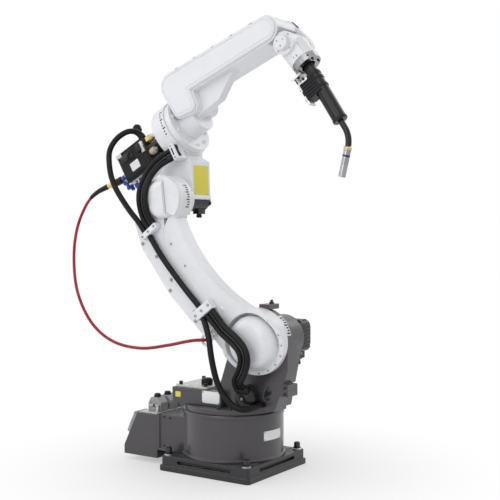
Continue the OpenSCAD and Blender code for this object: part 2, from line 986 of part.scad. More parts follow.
base_plate();
base_drum();
connector_box();
connector_lid();
connector_blocks();
rear_plug();
turntable();
shoulder_casting();
motor_box();
motor_box_lid();
motor_box_knobs();
shoulder_motor();
conduit_gland();
arm_casting();
shoulder_dome();
elbow_dome();
cable_sheet();
lower_clamp();
upper_clamp();
guide_ring();
arm_hose();
elbow_casting();
elbow_motor();
hose_bracket();
feeder_bracket();
feeder_box();
feeder_outlet();
feeder_fittings();
feeder_inlet();
forearm_casting();
side_cover();
far_cover();
wrist_nose();
wrist_housing();
wrist_cap();
tool_flange();
torch_bracket();
torch_clamp();
torch_handle();
torch_neck();
torch_nozzle();
contact_tip();
lower_conduits();
lower_feed_cable();
upper_conduits();
upper_feed_cable();
wire_liner();
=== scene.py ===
"""Finishes, cables and small hardware of a six-axis welding robot arm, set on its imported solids."""

import json
import logging
import math
from collections.abc import Sequence
from dataclasses import dataclass, field
from enum import Enum
from itertools import product
from typing import Any

import bpy
from mathutils import Matrix, Vector

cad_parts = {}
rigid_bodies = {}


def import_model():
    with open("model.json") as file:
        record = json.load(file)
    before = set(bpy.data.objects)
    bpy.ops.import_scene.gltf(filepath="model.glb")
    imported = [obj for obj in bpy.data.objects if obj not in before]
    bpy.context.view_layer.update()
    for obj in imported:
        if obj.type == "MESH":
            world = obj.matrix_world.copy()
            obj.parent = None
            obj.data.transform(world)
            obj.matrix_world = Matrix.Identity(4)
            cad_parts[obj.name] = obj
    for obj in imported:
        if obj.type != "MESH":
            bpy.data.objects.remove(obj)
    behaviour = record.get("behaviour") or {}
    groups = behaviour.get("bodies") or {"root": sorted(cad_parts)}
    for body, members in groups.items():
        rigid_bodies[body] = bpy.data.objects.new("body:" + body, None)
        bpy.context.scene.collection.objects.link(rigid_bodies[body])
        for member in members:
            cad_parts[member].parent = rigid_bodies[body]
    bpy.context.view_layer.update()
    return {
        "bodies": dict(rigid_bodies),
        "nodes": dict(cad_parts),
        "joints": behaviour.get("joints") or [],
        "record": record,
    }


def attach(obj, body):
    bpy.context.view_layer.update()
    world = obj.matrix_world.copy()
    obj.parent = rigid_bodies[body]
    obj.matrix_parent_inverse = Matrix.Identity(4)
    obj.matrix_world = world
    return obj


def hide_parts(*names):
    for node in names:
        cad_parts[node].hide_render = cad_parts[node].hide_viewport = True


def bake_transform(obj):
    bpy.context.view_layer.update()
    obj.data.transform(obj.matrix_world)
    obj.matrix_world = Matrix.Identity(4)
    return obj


MM = 0.001
LOG = logging.getLogger("robot_arm")
Colour = tuple[float, float, float]
Pair = tuple[float, float]
Triple = tuple[float, float, float]

ACROSS = Vector((0, 1, 0))
FULL_WHITE: Colour = (1.0, 1.0, 1.0)
DOMED: tuple[Pair, ...] = ((3.4, 0), (3.4, 0.5), (2.8, 1.3), (1.6, 1.9), (0.2, 2.1))
LEAST = 1e-3  # millimetres, the radius of a ring at the tip of a turned part
HALF_MARK = 1.4  # degrees to each side of an index tick
TICK_THICK = 0.25  # millimetres
LONGER = 6  # millimetres that every third tick is longer
WELD_REACH = 0.00002  # metres within which points of a casting are one
FLAT_WITHIN = 0.6  # degrees within which faces of a casting are one
EDGE_STEPS = 3  # strips across a rounded edge
SPAN_STEPS = 40  # points of the fine curve from one point of a route to the next
LOOK = 0.02  # part of a span to look back and ahead for the heading
EASE = 0.022  # metres to each side over which a cable's line is rounded
RIB_STEP = 0.0011  # metres from ring to ring on a corrugated skin
PLAIN_STEP = 0.004  # metres from ring to ring on a smooth skin
RIBS = (0.0, -0.375, -0.375, 0.0)  # millimetres added to the radius, ring by ring
STRIPE = 1.4  # radius of a light line in millimetres
PATH_POINTS = 120


def shift(x: float, y: float, z: float) -> Matrix:
    """Return a move by millimetres."""
    return Matrix.Translation(Vector((x, y, z)) * MM)


def turn(degrees: float, axis: str) -> Matrix:
    """Return a turn about one axis."""
    return Matrix.Rotation(math.radians(degrees), 4, axis)


class Face(Enum):
    """Direction in which a detail stands off its carrier, as a turn of its own Z axis."""

    UP = ("X", 0)
    DOWN = ("X", 180)
    NEAR = ("X", 90)
    FAR = ("X", -90)
    FRONT = ("Y", 90)
    BACK = ("Y", -90)

    def turn(self) -> Matrix:
        """Return the turn that brings Z to this direction."""
        return turn(self.value[1], self.value[0])


FLOOR = Matrix.Identity(4)
ARM = shift(180, 0, 493) @ turn(-127, "Y")
ELBOW = ARM @ shift(635, 0, 0) @ turn(98, "Y")
ROLL = ELBOW @ shift(0, 0, 254)
WRIST = ROLL @ shift(664, 0, 0) @ turn(79, "Y")
TORCH = WRIST @ shift(104, 0, 0) @ turn(7, "Y")
BEND = math.radians(46)
NOZZLE = TORCH @ shift(266 + 90 * math.sin(BEND), 0, -90 * (1 - math.cos(BEND))) @ turn(46, "Y")


def at(frame: Matrix, x: float, y: float, z: float, face: Face = Face.UP) -> Matrix:
    """Return a place in a link's frame.

    Args:
        frame: Rest frame of the link.
        x: Millimetres along the frame's X.
        y: Millimetres along the frame's Y.
        z: Millimetres along the frame's Z.
        face: Direction in which the place's Z points.

    Returns:
        The place as a matrix in metres.
    """
    return frame @ shift(x, y, z) @ face.turn()


class Sock:
    """Output of a shader node that takes part in Python expressions."""

    def __init__(self, shader: "Shader", socket: bpy.types.NodeSocket) -> None:
        """Keep the shader and the socket."""
        self.shader = shader
        self.socket = socket

    def _math(self, operation: str, first: Any, second: Any) -> "Sock":
        """Return the output of a new Math node on two values."""
        return self.shader.node("ShaderNodeMath", {"operation": operation}, {0: first, 1: second})

    def __add__(self, other: Any) -> "Sock":
        """Return self plus other."""
        return self._math("ADD", self, other)

    def __radd__(self, other: Any) -> "Sock":
        """Return other plus self."""
        return self._math("ADD", other, self)

    def __sub__(self, other: Any) -> "Sock":
        """Return self minus other."""
        return self._math("SUBTRACT", self, other)

    def __mul__(self, other: Any) -> "Sock":
        """Return self times other."""
        return self._math("MULTIPLY", self, other)

    def most(self, other: Any) -> "Sock":
        """Return the larger of self and other."""
        return self._math("MAXIMUM", self, other)

    def rise(self, low: float, high: float) -> "Sock":
        """Return 0 below low, 1 above high and a smooth step between."""
        settings = {"interpolation_type": "SMOOTHSTEP"}
        sockets = {"Value": self, "From Min": low, "From Max": high}
        return self.shader.node("ShaderNodeMapRange", settings, sockets)

    def stretch(self, by: Triple) -> "Sock":
        """Return a vector multiplied part by part."""
        return self.shader.node("ShaderNodeVectorMath", {"operation": "MULTIPLY"}, {0: self, 1: by})


class Shader:
    """Node tree that is built one node at a time."""

    def __init__(self, tree: bpy.types.NodeTree) -> None:
        """Empty the tree and keep it."""
        tree.nodes.clear()
        self.tree = tree
        self._place: Sock | None = None

    def node(
        self,
        kind: str,
        settings: dict[str, Any] | None = None,
        sockets: dict[str | int, Any] | None = None,
        out: int | str = 0,
    ) -> Sock:
        """Add a node.

        Args:
            kind: Blender's type name of the node.
            settings: Properties of the node, set before its sockets.
            sockets: Values or links of its inputs.
            out: Output that is returned.

        Returns:
            The chosen output.
        """
        made = self.tree.nodes.new(kind)
        for key, value in (settings or {}).items():
            setattr(made, key, value)
        for key, value in (sockets or {}).items():
            if isinstance(value, Sock):
                self.tree.links.new(value.socket, made.inputs[key])
            elif isinstance(value, tuple) and made.inputs[key].type == "RGBA":
                made.inputs[key].default_value = (*value[:3], 1.0)
            else:
                made.inputs[key].default_value = value
        outputs = made.outputs
        return Sock(self, outputs[out]) if len(outputs) else Sock(self, None)

    def place(self) -> Sock:
        """Return the point on the surface in the piece's own metres."""
        if self._place is None:
            self._place = self.node("ShaderNodeTexCoord", out="Object")
        return self._place

    def noise(self, scale: float, detail: float = 2.0, place: Sock | None = None) -> Sock:
        """Return a noise value over the surface."""
        sockets = {"Vector": place or self.place(), "Scale": scale, "Detail": detail}
        return self.node("ShaderNodeTexNoise", {}, sockets)

    def tint(self, mask: Sock, low: Any, high: Any) -> Sock:
        """Return a colour between two by a mask."""
        return self.node("ShaderNodeMix", {"data_type": "RGBA"}, {0: mask, 6: low, 7: high}, 2)

    def upward(self) -> Sock:
        """Return how far the surface faces up at rest."""
        normal = self.node("ShaderNodeNewGeometry", out="Normal")
        return self.node("ShaderNodeSeparateXYZ", {}, {0: normal}, 2)

    def bump(self, height: Sock, strength: float, distance: float) -> Sock:
        """Return a normal that follows a height."""
        sockets = {"Strength": strength, "Distance": distance, "Height": height}
        return self.node("ShaderNodeBump", {}, sockets)


@dataclass(frozen=True)
class Finish:
    """Look of one kind of surface."""

    name: str
    slot: str
    colour: Colour
    rough: float = 0.4

    def material(self) -> bpy.types.Material:
        """Return the material, made once."""
        made = bpy.data.materials.get(f"finish_{self.name}")
        if made is None:
            made = bpy.data.materials.new(f"finish_{self.name}")
            made.use_nodes = True
            shader = Shader(made.node_tree)
            surface = shader.node("ShaderNodeBsdfPrincipled", {}, self.sockets(shader))
            shader.node("ShaderNodeOutputMaterial", {}, {"Surface": surface})
            made.diffuse_color = (*self.colour, 1.0)
        return made

    def sockets(self, shader: Shader) -> dict[str | int, Any]:
        """Return the surface's values and links."""
        grime = shader.noise(30.0, 3.0)
        return {
            "Base Color": shader.tint(grime.rise(0.3, 0.8), self.colour, darker(self.colour, 0.9)),
            "Roughness": self.rough + (grime - 0.5) * 0.15,
        }


def darker(colour: Colour, by: float) -> Colour:
    """Return a colour times a number."""
    return (colour[0] * by, colour[1] * by, colour[2] * by)


@dataclass(frozen=True)
class Paint(Finish):
    """Sprayed enamel with a faint orange peel, some handling marks and dust on top; on the floor plate
    the dust on top is partly painted light.
    """

    peel: float = 0.06
    peel_scale: float = 420.0
    dust: float = 0.12
    dust_colour: Colour = (0.55, 0.53, 0.50)
    gloss: float = 0.25

    def sockets(self, shader: Shader) -> dict[str | int, Any]:
        """Return the surface's values and links."""
        cloud = shader.noise(5.0, 3.0).rise(0.35, 0.7)
        rub = shader.noise(46.0, 4.0)
        tone = shader.tint(cloud, self.colour, darker(self.colour, 0.955))
        tone = shader.tint(rub.rise(0.56, 0.78) * 0.5, tone, darker(self.colour, 0.86))
        # Lighter colour on upward faces: dust, and on the floor plate partly painted light on its top.
        lying = shader.upward().rise(0.35, 1.0) * rub.rise(0.3, 0.62) * self.dust
        tone = shader.tint(lying, tone, self.dust_colour)
        peel = shader.noise(self.peel_scale, 2.0)
        return {
            "Base Color": tone,
            "Roughness": self.rough + (rub - 0.5) * 0.2 + lying,
            "Coat Weight": self.gloss,
            "Coat Roughness": 0.18,
            "Normal": shader.bump(peel, self.peel, 0.0012),
        }


@dataclass(frozen=True)
class Plastic(Finish):
    """Moulded plastic with a fine spark-eroded grain."""

    grain: float = 0.12
    grain_scale: float = 900.0
    dust: float = 0.05
    shine: float = 0.2

    def sockets(self, shader: Shader) -> dict[str | int, Any]:
        """Return the surface's values and links."""
        rub = shader.noise(34.0, 4.0)
        lying = shader.upward().rise(0.2, 1.0) * rub.rise(0.35, 0.65) * self.dust
        tone = shader.tint(rub.rise(0.4, 0.75), self.colour, darker(self.colour, 1.35))
        tone = shader.tint(lying, tone, (0.42, 0.40, 0.38))
        return {
            "Base Color": tone,
            "Roughness": self.rough + (rub - 0.5) * 0.22 + lying,
            "Specular IOR Level": self.shine,
            "Normal": shader.bump(shader.noise(self.grain_scale, 1.0), self.grain, 0.0006),
        }


@dataclass(frozen=True)
class Metal(Finish):
    """Machined metal with fine tool lines and a little tarnish."""

    lines: Triple = (20.0, 900.0, 900.0)
    cut: float = 0.10
    stain: float = 0.75

    def sockets(self, shader: Shader) -> dict[str | int, Any]:
        """Return the surface's values and links."""
        lines = shader.noise(1.0, 2.0, shader.place().stretch(self.lines))
        tarnish = shader.noise(28.0, 4.0).rise(0.42, 0.78)
        return {
            "Base Color": shader.tint(tarnish, self.colour, darker(self.colour, self.stain)),
            "Metallic": 1.0,
            "Roughness": self.rough + (lines - 0.5) * 0.16 + tarnish * 0.08,
            "Normal": shader.bump(lines, self.cut, 0.0004),
        }


WHITE = Paint("white_enamel", "white_paint", (0.80, 0.812, 0.845), 0.33, dust=0.05)
GREY = Paint(
    "dark_grey_enamel", "grey_paint", (0.049, 0.043, 0.052), 0.34, peel=0.12, peel_scale=260.0,
    dust=0.16, dust_colour=(0.30, 0.29, 0.28), gloss=0.32,
)
# Darker copy of the grey enamel whose dark colour paints the shade on the floor plate's sides; its strong
# dust on upward faces is partly dust and partly painted light on the top.
PLATE_PAINTED_SHADE = Paint(
    "floor_plate_enamel_painted_shade", "grey_paint", (0.017, 0.015, 0.018), 0.40, peel=0.12, peel_scale=260.0,
    dust=0.30, dust_colour=(0.20, 0.185, 0.20), gloss=0.1,
)
PALE = Paint("pale_lid", "pale_plate", (0.56, 0.57, 0.55), 0.30, peel=0.02, dust=0.25, gloss=0.4)
LABEL = Paint(
    "bare_white_plate", "pale_plate", (0.84, 0.845, 0.86), 0.45, peel=0.01, dust=0.02, gloss=0.05
)
YELLOW = Paint("plain_yellow_plate", "pale_plate", (0.75, 0.65, 0.055), 0.46, peel=0.01, gloss=0.1)
BLACK = Plastic("black_cast_plastic", "black_plastic", (0.013, 0.013, 0.015), 0.40)
SATIN = Plastic(
    "black_satin", "black_plastic", (0.014, 0.014, 0.015), 0.24, grain=0.04, dust=0.03, shine=0.32
)
MOULDED = Plastic("grey_moulding", "grey_plastic", (0.29, 0.29, 0.295), 0.42, shine=0.4)
BEIGE = Plastic("beige_moulding", "grey_plastic", (0.50, 0.43, 0.33), 0.42)
BLUE = Plastic("blue_moulding", "blue_plastic", (0.035, 0.085, 0.36), 0.34, grain=0.05)
GLOSSY = Plastic(
    "black_gloss", "black_plastic", (0.011, 0.011, 0.012), 0.17, grain=0.015, dust=0.02, shine=0.32
)
RUBBER = Plastic(
    "black_hose_rubber", "black_rubber", (0.009, 0.009, 0.010), 0.30, grain=0.03, dust=0.03, shine=0.15
)
LINER = Plastic("red_liner", "red_rubber", (0.30, 0.020, 0.030), 0.40, grain=0.05, dust=0.04)
STEEL = Metal("machined_steel", "bright_steel", (0.50, 0.50, 0.515), 0.30)
ZINC = Metal("zinc_screws", "bright_steel", (0.44, 0.44, 0.45), 0.36)
# The nozzle's plating has a lowered colour that paints dark reflections of surroundings on the chrome.
CHROME_PAINTED_DARK = Metal("plated_nozzle_painted_dark_reflection", "bright_steel", (0.33, 0.33, 0.345), 0.14, cut=0.005, stain=0.62)
ALLOY = Metal("brushed_alloy", "bright_steel", (0.66, 0.66, 0.67), 0.46, cut=0.02, stain=0.85)
# Darker copy of the machined steel: its low colour paints the dark reflections of surroundings on the
# tool flange.
FLANGE_STEEL_PAINTED_DARK = Metal("turned_flange_painted_dark_reflection", "bright_steel", (0.34, 0.34, 0.35), 0.22, stain=0.7)
BRASS = Metal("brass", "brass", (0.70, 0.54, 0.24), 0.30)
COPPER = Metal("copper_tip", "brass", (0.72, 0.36, 0.20), 0.34)
BLACK_STEEL = Metal("blackened_steel", "black_plastic", (0.050, 0.050, 0.054), 0.34, stain=0.7)


def polar(radius: float, degrees: float) -> Pair:
    """Return the point of a circle at an angle."""
    angle = math.radians(degrees)
    return radius * math.cos(angle), radius * math.sin(angle)


def rounded(width: float, height: float, radius: float, steps: int = 5) -> list[Pair]:
    """Return the outline of a rectangle with round corners, centred, in millimetres."""
    found = []
    for corner, (sx, sy) in enumerate(((1, 1), (-1, 1), (-1, -1), (1, -1))):
        for step in range(steps + 1):
            x, y = polar(radius, 90 * corner + 90 * step / steps)
            found.append((sx * (width / 2 - radius) + x, sy * (height / 2 - radius) + y))
    return found


def ring_of(radius: float, count: int, start: float = 0.0) -> list[Pair]:
    """Return points spread evenly round a circle."""
    return [polar(radius, start + 360 * n / count) for n in range(count)]


def four(u: float, v: float) -> list[Pair]:
    """Return the corners of a centred rectangle from half its sides."""
    return list(product((-u, u), (-v, v)))


class Mould:
    """Faces gathered in the row frame for one mesh piece."""

    def __init__(self) -> None:
        """Start with no faces."""
        self.points: list[Vector] = []
        self.faces: list[tuple[int, ...]] = []

    def _ring(self, place: Matrix, ring: Sequence[Triple]) -> list[int]:
        """Add points given in millimetres and return their numbers."""
        first = len(self.points)
        self.points += [place @ (Vector(p) * MM) for p in ring]
        return list(range(first, len(self.points)))

    def _rounds(self, place: Matrix, profile: Sequence[Pair], sides: int) -> list[list[int]]:
        """Add a round ring for each radius and height of a profile."""
        rounds = [(ring_of(max(r, LEAST), sides), h) for r, h in profile]
        return [self._ring(place, [(x, y, h) for x, y in ring]) for ring, h in rounds]

    def _wall(self, low: list[int], high: list[int]) -> None:
        """Join two rings of the same length by quads."""
        count = len(low)
        for n in range(count):
            m = (n + 1) % count
            self.faces.append((low[n], low[m], high[m], high[n]))

    def _skin(self, rings: list[list[int]]) -> "Mould":
        """Join rings in their order, close both ends and return the mould."""
        for low, high in zip(rings, rings[1:]):
            self._wall(low, high)
        self.faces += [tuple(reversed(rings[0])), tuple(rings[-1])]
        return self

    def lathe(self, place: Matrix, profile: Sequence[Pair], sides: int = 32) -> "Mould":
        """Turn a profile about the place's Z axis.

        Args:
            place: Where the axis stands.
            profile: Radius and height of each ring, in millimetres, from the lower end up.
            sides: Number of flats round the axis.

        Returns:
            The mould itself.
        """
        return self._skin(self._rounds(place, profile, sides))

    def hoop(self, place: Matrix, profile: Sequence[Pair], sides: int = 48) -> "Mould":
        """Turn a closed section, given as radius and height, about the place's Z axis."""
        rings = self._rounds(place, profile, sides)
        for low, high in zip(rings, rings[1:] + rings[:1]):
            self._wall(low, high)
        return self

    def slab(self, place: Matrix, outline: Sequence[Pair], height: float, edge: float = 0.0) -> "Mould":
        """Raise an outline along the place's Z axis with a rounded top rim.

        Args:
            place: Where the foot of the slab lies.
            outline: Points round the slab, counter-clockwise, in millimetres.
            height: Height of the slab in millimetres.
            edge: Radius of the rim in millimetres.

        Returns:
            The mould itself.
        """
        levels = [(0.0, 0.0), (0.0, height - edge)]
        if edge > 0:
            for angle in (30, 60, 90):
                c, s = polar(1, angle)
                levels.append((edge * (1 - c), height - edge * (1 - s)))
        rings = [self._ring(place, [(x, y, h) for x, y in inset(outline, d)]) for d, h in levels]
        return self._skin(rings)

    def box(self, place: Matrix, size: Triple, edge: float = 1.0) -> "Mould":
        """Add a block with round corners that stands on the place."""
        return self.slab(place, rounded(size[0], size[1], max(edge, 0.2), 3), size[2], edge)

    def arc_plate(
        self, place: Matrix, radius: float, angles: Pair, heights: Pair, thick: float
    ) -> "Mould":
        """Add a plate bent round the place's Z axis."""
        steps = max(4, int(abs(angles[1] - angles[0]) / 4))
        inner, outer, low, high = radius, radius + thick, *heights
        section = ((inner, low), (outer, low), (outer, high), (inner, high))
        rings = []
        for n in range(steps + 1):
            c, s = polar(1, angles[0] + (angles[1] - angles[0]) * n / steps)
            rings.append(self._ring(place, [(r * c, r * s, h) for r, h in section]))
        return self._skin(rings)

    def tube(self, line: Sequence[Vector], radii: Sequence[float], sides: int = 20) -> "Mould":
        """Sweep a round section along a line.

        Args:
            line: Points of the centre line in metres.
            radii: Radius at each point in metres.
            sides: Number of flats round the section.

        Returns:
            The mould itself.
        """
        rings = []
        side: Vector | None = None
        for n, point in enumerate(line):
            ahead = heading(line, n)
            if side is None:
                side = ahead.cross(ACROSS)
            side = (side - ahead * side.dot(ahead)).normalized()
            other = ahead.cross(side)
            first = len(self.points)
            for k in range(sides):
                a = 2 * math.pi * k / sides
                self.points.append(point + (side * math.cos(a) + other * math.sin(a)) * radii[n])
            rings.append(list(range(first, first + sides)))
        return self._skin(rings)

    def screw(self, place: Matrix, radius: float, height: float) -> "Mould":
        """Add a socket head screw."""
        r, h = radius, height
        head = [(r, 0), (r, 0.8 * h), (0.88 * r, h)]
        socket = [(0.56 * r, h), (0.5 * r, 0.45 * h), (0.05 * r, 0.4 * h)]
        return self.lathe(place, head + socket, 18)

    def washer(self, place: Matrix, radius: float, height: float) -> "Mould":
        """Add a flat washer with a broken rim."""
        r, h = radius, height
        return self.lathe(place, [(r, 0), (r, 0.7 * h), (r - 0.4 * h, h), (0.3, h)], 28)

    def ticks(self, place: Matrix, radius: float, angles: tuple[int, int, int], heights: Pair) -> "Mould":
        """Add plain tick marks along a rim, every third one longer.

        Args:
            place: Frame whose Z is the rim's axis.
            radius: Radius on which the marks lie, in millimetres.
            angles: First and last angle and the step, in degrees.
            heights: Foot and top of a short mark along the axis, in millimetres.

        Returns:
            The mould itself.
        """
        for n, angle in enumerate(range(angles[0], angles[1] + 1, angles[2])):
            top = heights[1] + (LONGER if n % 3 == 0 else 0)
            across = (angle - HALF_MARK, angle + HALF_MARK)
            self.arc_plate(place, radius, across, (heights[0], top), TICK_THICK)
        return self

    def nut(self, place: Matrix, radius: float, height: float) -> "Mould":
        """Add a hexagon head."""
        return self.slab(place, ring_of(radius, 6), height, 0.12 * height)

    def piece(self, name: str, body: str, finish: Finish) -> None:
        """Make the mesh, dress it and set it on its body.

        Args:
            name: Name of the piece.
            body: Body that carries it.
            finish: Finish of the piece.
        """
        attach(self.loose(name, finish), body)
        LOG.info("%s rides on %s", name, body)

    def loose(self, name: str, finish: Finish, sharp: float = 34.0) -> bpy.types.Object:
        """Return the dressed mesh with no carrier yet."""
        mesh = bpy.data.meshes.new(name)
        mesh.from_pydata([p[:] for p in self.points], [], self.faces)
        mesh.validate()
        mesh.shade_smooth()
        mesh.set_sharp_from_angle(angle=math.radians(sharp))
        mesh.materials.append(finish.material())
        made = bpy.data.objects.new(name, mesh)
        bpy.context.scene.collection.objects.link(made)
        return made


def inset(outline: Sequence[Pair], by: float) -> list[Pair]:
    """Return a counter-clockwise outline drawn in by a distance."""
    if by == 0:
        return list(outline)
    found = []
    count = len(outline)
    for n in range(count):
        before, here, after = (Vector(outline[(n + k) % count]) for k in (-1, 0, 1))
        one, two = (here - before).normalized(), (after - here).normalized()
        first, second = Vector((-one.y, one.x)), Vector((-two.y, two.x))
        found.append(tuple(here + (first + second) * (by / max(1 + first.dot(second), 0.2))))
    return found


def heading(line: Sequence[Vector], n: int) -> Vector:
    """Return the direction of a line at one of its points."""
    return (line[min(n + 1, len(line) - 1)] - line[max(n - 1, 0)]).normalized()


def curve(points: Sequence[Vector], t: float) -> Vector:
    """Return the place t spans along the smooth curve through some points."""
    last = len(points) - 1
    i = min(int(t), last - 1)
    f = t - i
    a, b, c, d = (points[max(0, min(i + k, last))] for k in (-1, 0, 1, 2))
    return 0.5 * (
        2 * b + (c - a) * f + (2 * a - 5 * b + 4 * c - d) * f * f + (3 * b - a - 3 * c + d) * f**3
    )


def spread(stations: Sequence[Pair], value: float) -> float:
    """Return the height of a broken line at a value."""
    for (x0, y0), (x1, y1) in zip(stations, stations[1:]):
        if value <= x1:
            return y0 + (y1 - y0) * (value - x0) / max(x1 - x0, 1e-9)
    return stations[-1][1]


@dataclass(frozen=True)
class Casting:
    """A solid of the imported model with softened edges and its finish."""

    node: str
    finish: Finish
    edge: float = 2.0
    angle: float = 32.0
    flat: bool = True

    def dress(self, frame: dict[str, Any]) -> None:
        """Give the node its finish and rounded edges."""
        solid = frame["nodes"][self.node]
        solid.data.materials.clear()
        solid.data.materials.append(self.finish.material())
        if self.edge > 0:
            weld = solid.modifiers.new("weld", "WELD")
            weld.merge_threshold = WELD_REACH
            if self.flat:
                flat = solid.modifiers.new("flat", "DECIMATE")
                flat.decimate_type = "DISSOLVE"
                flat.angle_limit = math.radians(FLAT_WITHIN)
            bevel = solid.modifiers.new("edge", "BEVEL")
            bevel.width = self.edge * MM
            bevel.segments = EDGE_STEPS
            bevel.limit_method = "ANGLE"
            bevel.angle_limit = math.radians(self.angle)
            bevel.use_clamp_overlap = False
            bevel.miter_outer = "MITER_ARC"
            weighted = solid.modifiers.new("shade", "WEIGHTED_NORMAL")
            weighted.keep_sharp = False
            weighted.weight = 100
        LOG.info("%s dressed as %s", self.node, self.finish.name)


@dataclass
class Assembly:
    """Castings that belong together, with the small parts on them."""

    body: str = ""
    castings: tuple[Casting, ...] = ()
    parts: list[tuple[Mould, str, str, Finish]] = field(default_factory=list)

    def add(self, name: str, finish: Finish, body: str = "") -> Mould:
        """Start a small part.

        Args:
            name: Name of the piece.
            finish: Finish of the piece.
            body: Body that carries it, if not the assembly's own.

        Returns:
            The empty mould, which becomes a piece when the assembly is built.
        """
        self.parts.append((Mould(), name, body or self.body, finish))
        return self.parts[-1][0]

    def build(self, frame: dict[str, Any]) -> None:
        """Dress the castings and make the small parts.
        """
        for casting in self.castings:
            casting.dress(frame)
        self.details()
        for mould, name, body, finish in self.parts:
            mould.piece(name, body, finish)

    def details(self) -> None:
        """Shape the small parts."""


class Skin(Enum):
    """Outer surface of a cable."""

    SMOOTH = "smooth"
    CORRUGATED = "corrugated"


@dataclass
class Cable:
    """One cable, hose or conduit along its route."""

    name: str
    node: str
    route: Sequence[Triple]
    radius: float
    finish: Finish
    skin: Skin
    bodies: tuple[str, ...]
    aside: float = 0.0
    lay: str = "hanging"

    def line(self) -> list[Vector]:
        """Return the centre line in metres, close enough for the skin."""
        route = [Vector(p) * MM for p in self.route]
        last = len(route) - 1
        fine: list[Vector] = []
        for n in range(last * SPAN_STEPS + 1):
            t = n / SPAN_STEPS
            ahead = (curve(route, min(t + LOOK, last)) - curve(route, max(t - LOOK, 0))).normalized()
            side = ahead.cross(ACROSS).normalized()
            fine.append(curve(route, t) + side * self.aside * MM)
        step = RIB_STEP if self.skin is Skin.CORRUGATED else PLAIN_STEP
        found = [fine[0]]
        for goal in fine[1:]:
            while (goal - found[-1]).length > step:
                toward = goal - found[-1]
                found.append(found[-1] + toward * (step / toward.length))
        found.append(fine[-1])
        eased = []
        for n in range(len(found)):
            reach = min(int(EASE / step), n, len(found) - 1 - n)
            part = found[n - reach : n + reach + 1]
            eased.append(sum(part, Vector()) / len(part))
        return eased

    def _carry(self, made: bpy.types.Object) -> None:
        """Bake an object in place when the cable spans two bodies, or set it on the only one."""
        if len(self.bodies) == 2:
            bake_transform(made)
        else:
            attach(made, self.bodies[0])
        LOG.info("%s follows %s", made.name, self.name)

    def sleeve(self, name: str, stations: Sequence[Pair], finish: Finish) -> None:
        """Slip a turned sleeve over the cable.

        Args:
            name: Name of the sleeve.
            stations: Distance along the cable and radius there, in millimetres.
            finish: Finish of the sleeve.
        """
        line = self.line()
        spots, radii = [], []
        gone = 0.0
        for p, q in zip(line, line[1:]):
            if stations[0][0] <= gone <= stations[-1][0]:
                spots.append(p)
                radii.append(spread(stations, gone) * MM)
            gone += (q - p).length / MM
        self._carry(Mould().tube(spots, radii, 28).loose(name, finish, 40))

    def stripe(self, name: str, aside: float, lift: float, finish: Finish) -> None:
        """Lay a thin light line along the cable.

        Args:
            name: Name of the line.
            aside: Millimetres to one side of the cable's centre line.
            lift: Millimetres toward the near side.
            finish: Finish of the line.
        """
        line = self.line()
        moved = []
        for n, point in enumerate(line):
            ahead = heading(line, n)
            side = ahead.cross(ACROSS).normalized()
            moved.append(point + (side * aside + ahead.cross(side) * -lift) * MM)
        radii = [STRIPE * MM] * len(moved)
        self._carry(Mould().tube(moved, radii, 8).loose(name, finish, 60))

    def build(self) -> None:
        line = self.line()
        radius = self.radius * MM
        if self.skin is Skin.CORRUGATED:
            radii = [radius + RIBS[n % len(RIBS)] * MM for n in range(len(line))]
        else:
            radii = [radius] * len(line)
        made = Mould().tube(line, radii, 18).loose(self.name, self.finish, 60)
        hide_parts(self.node)
        length = sum((b - a).length for a, b in zip(line, line[1:]))
        path = line[:: max(1, len(line) // PATH_POINTS)]
        if (path[-1] - line[-1]).length > 1e-9:
            path.append(line[-1])
        self._carry(made)
        2 * radius
        LOG.info("%s is %.3f m long", self.name, length)


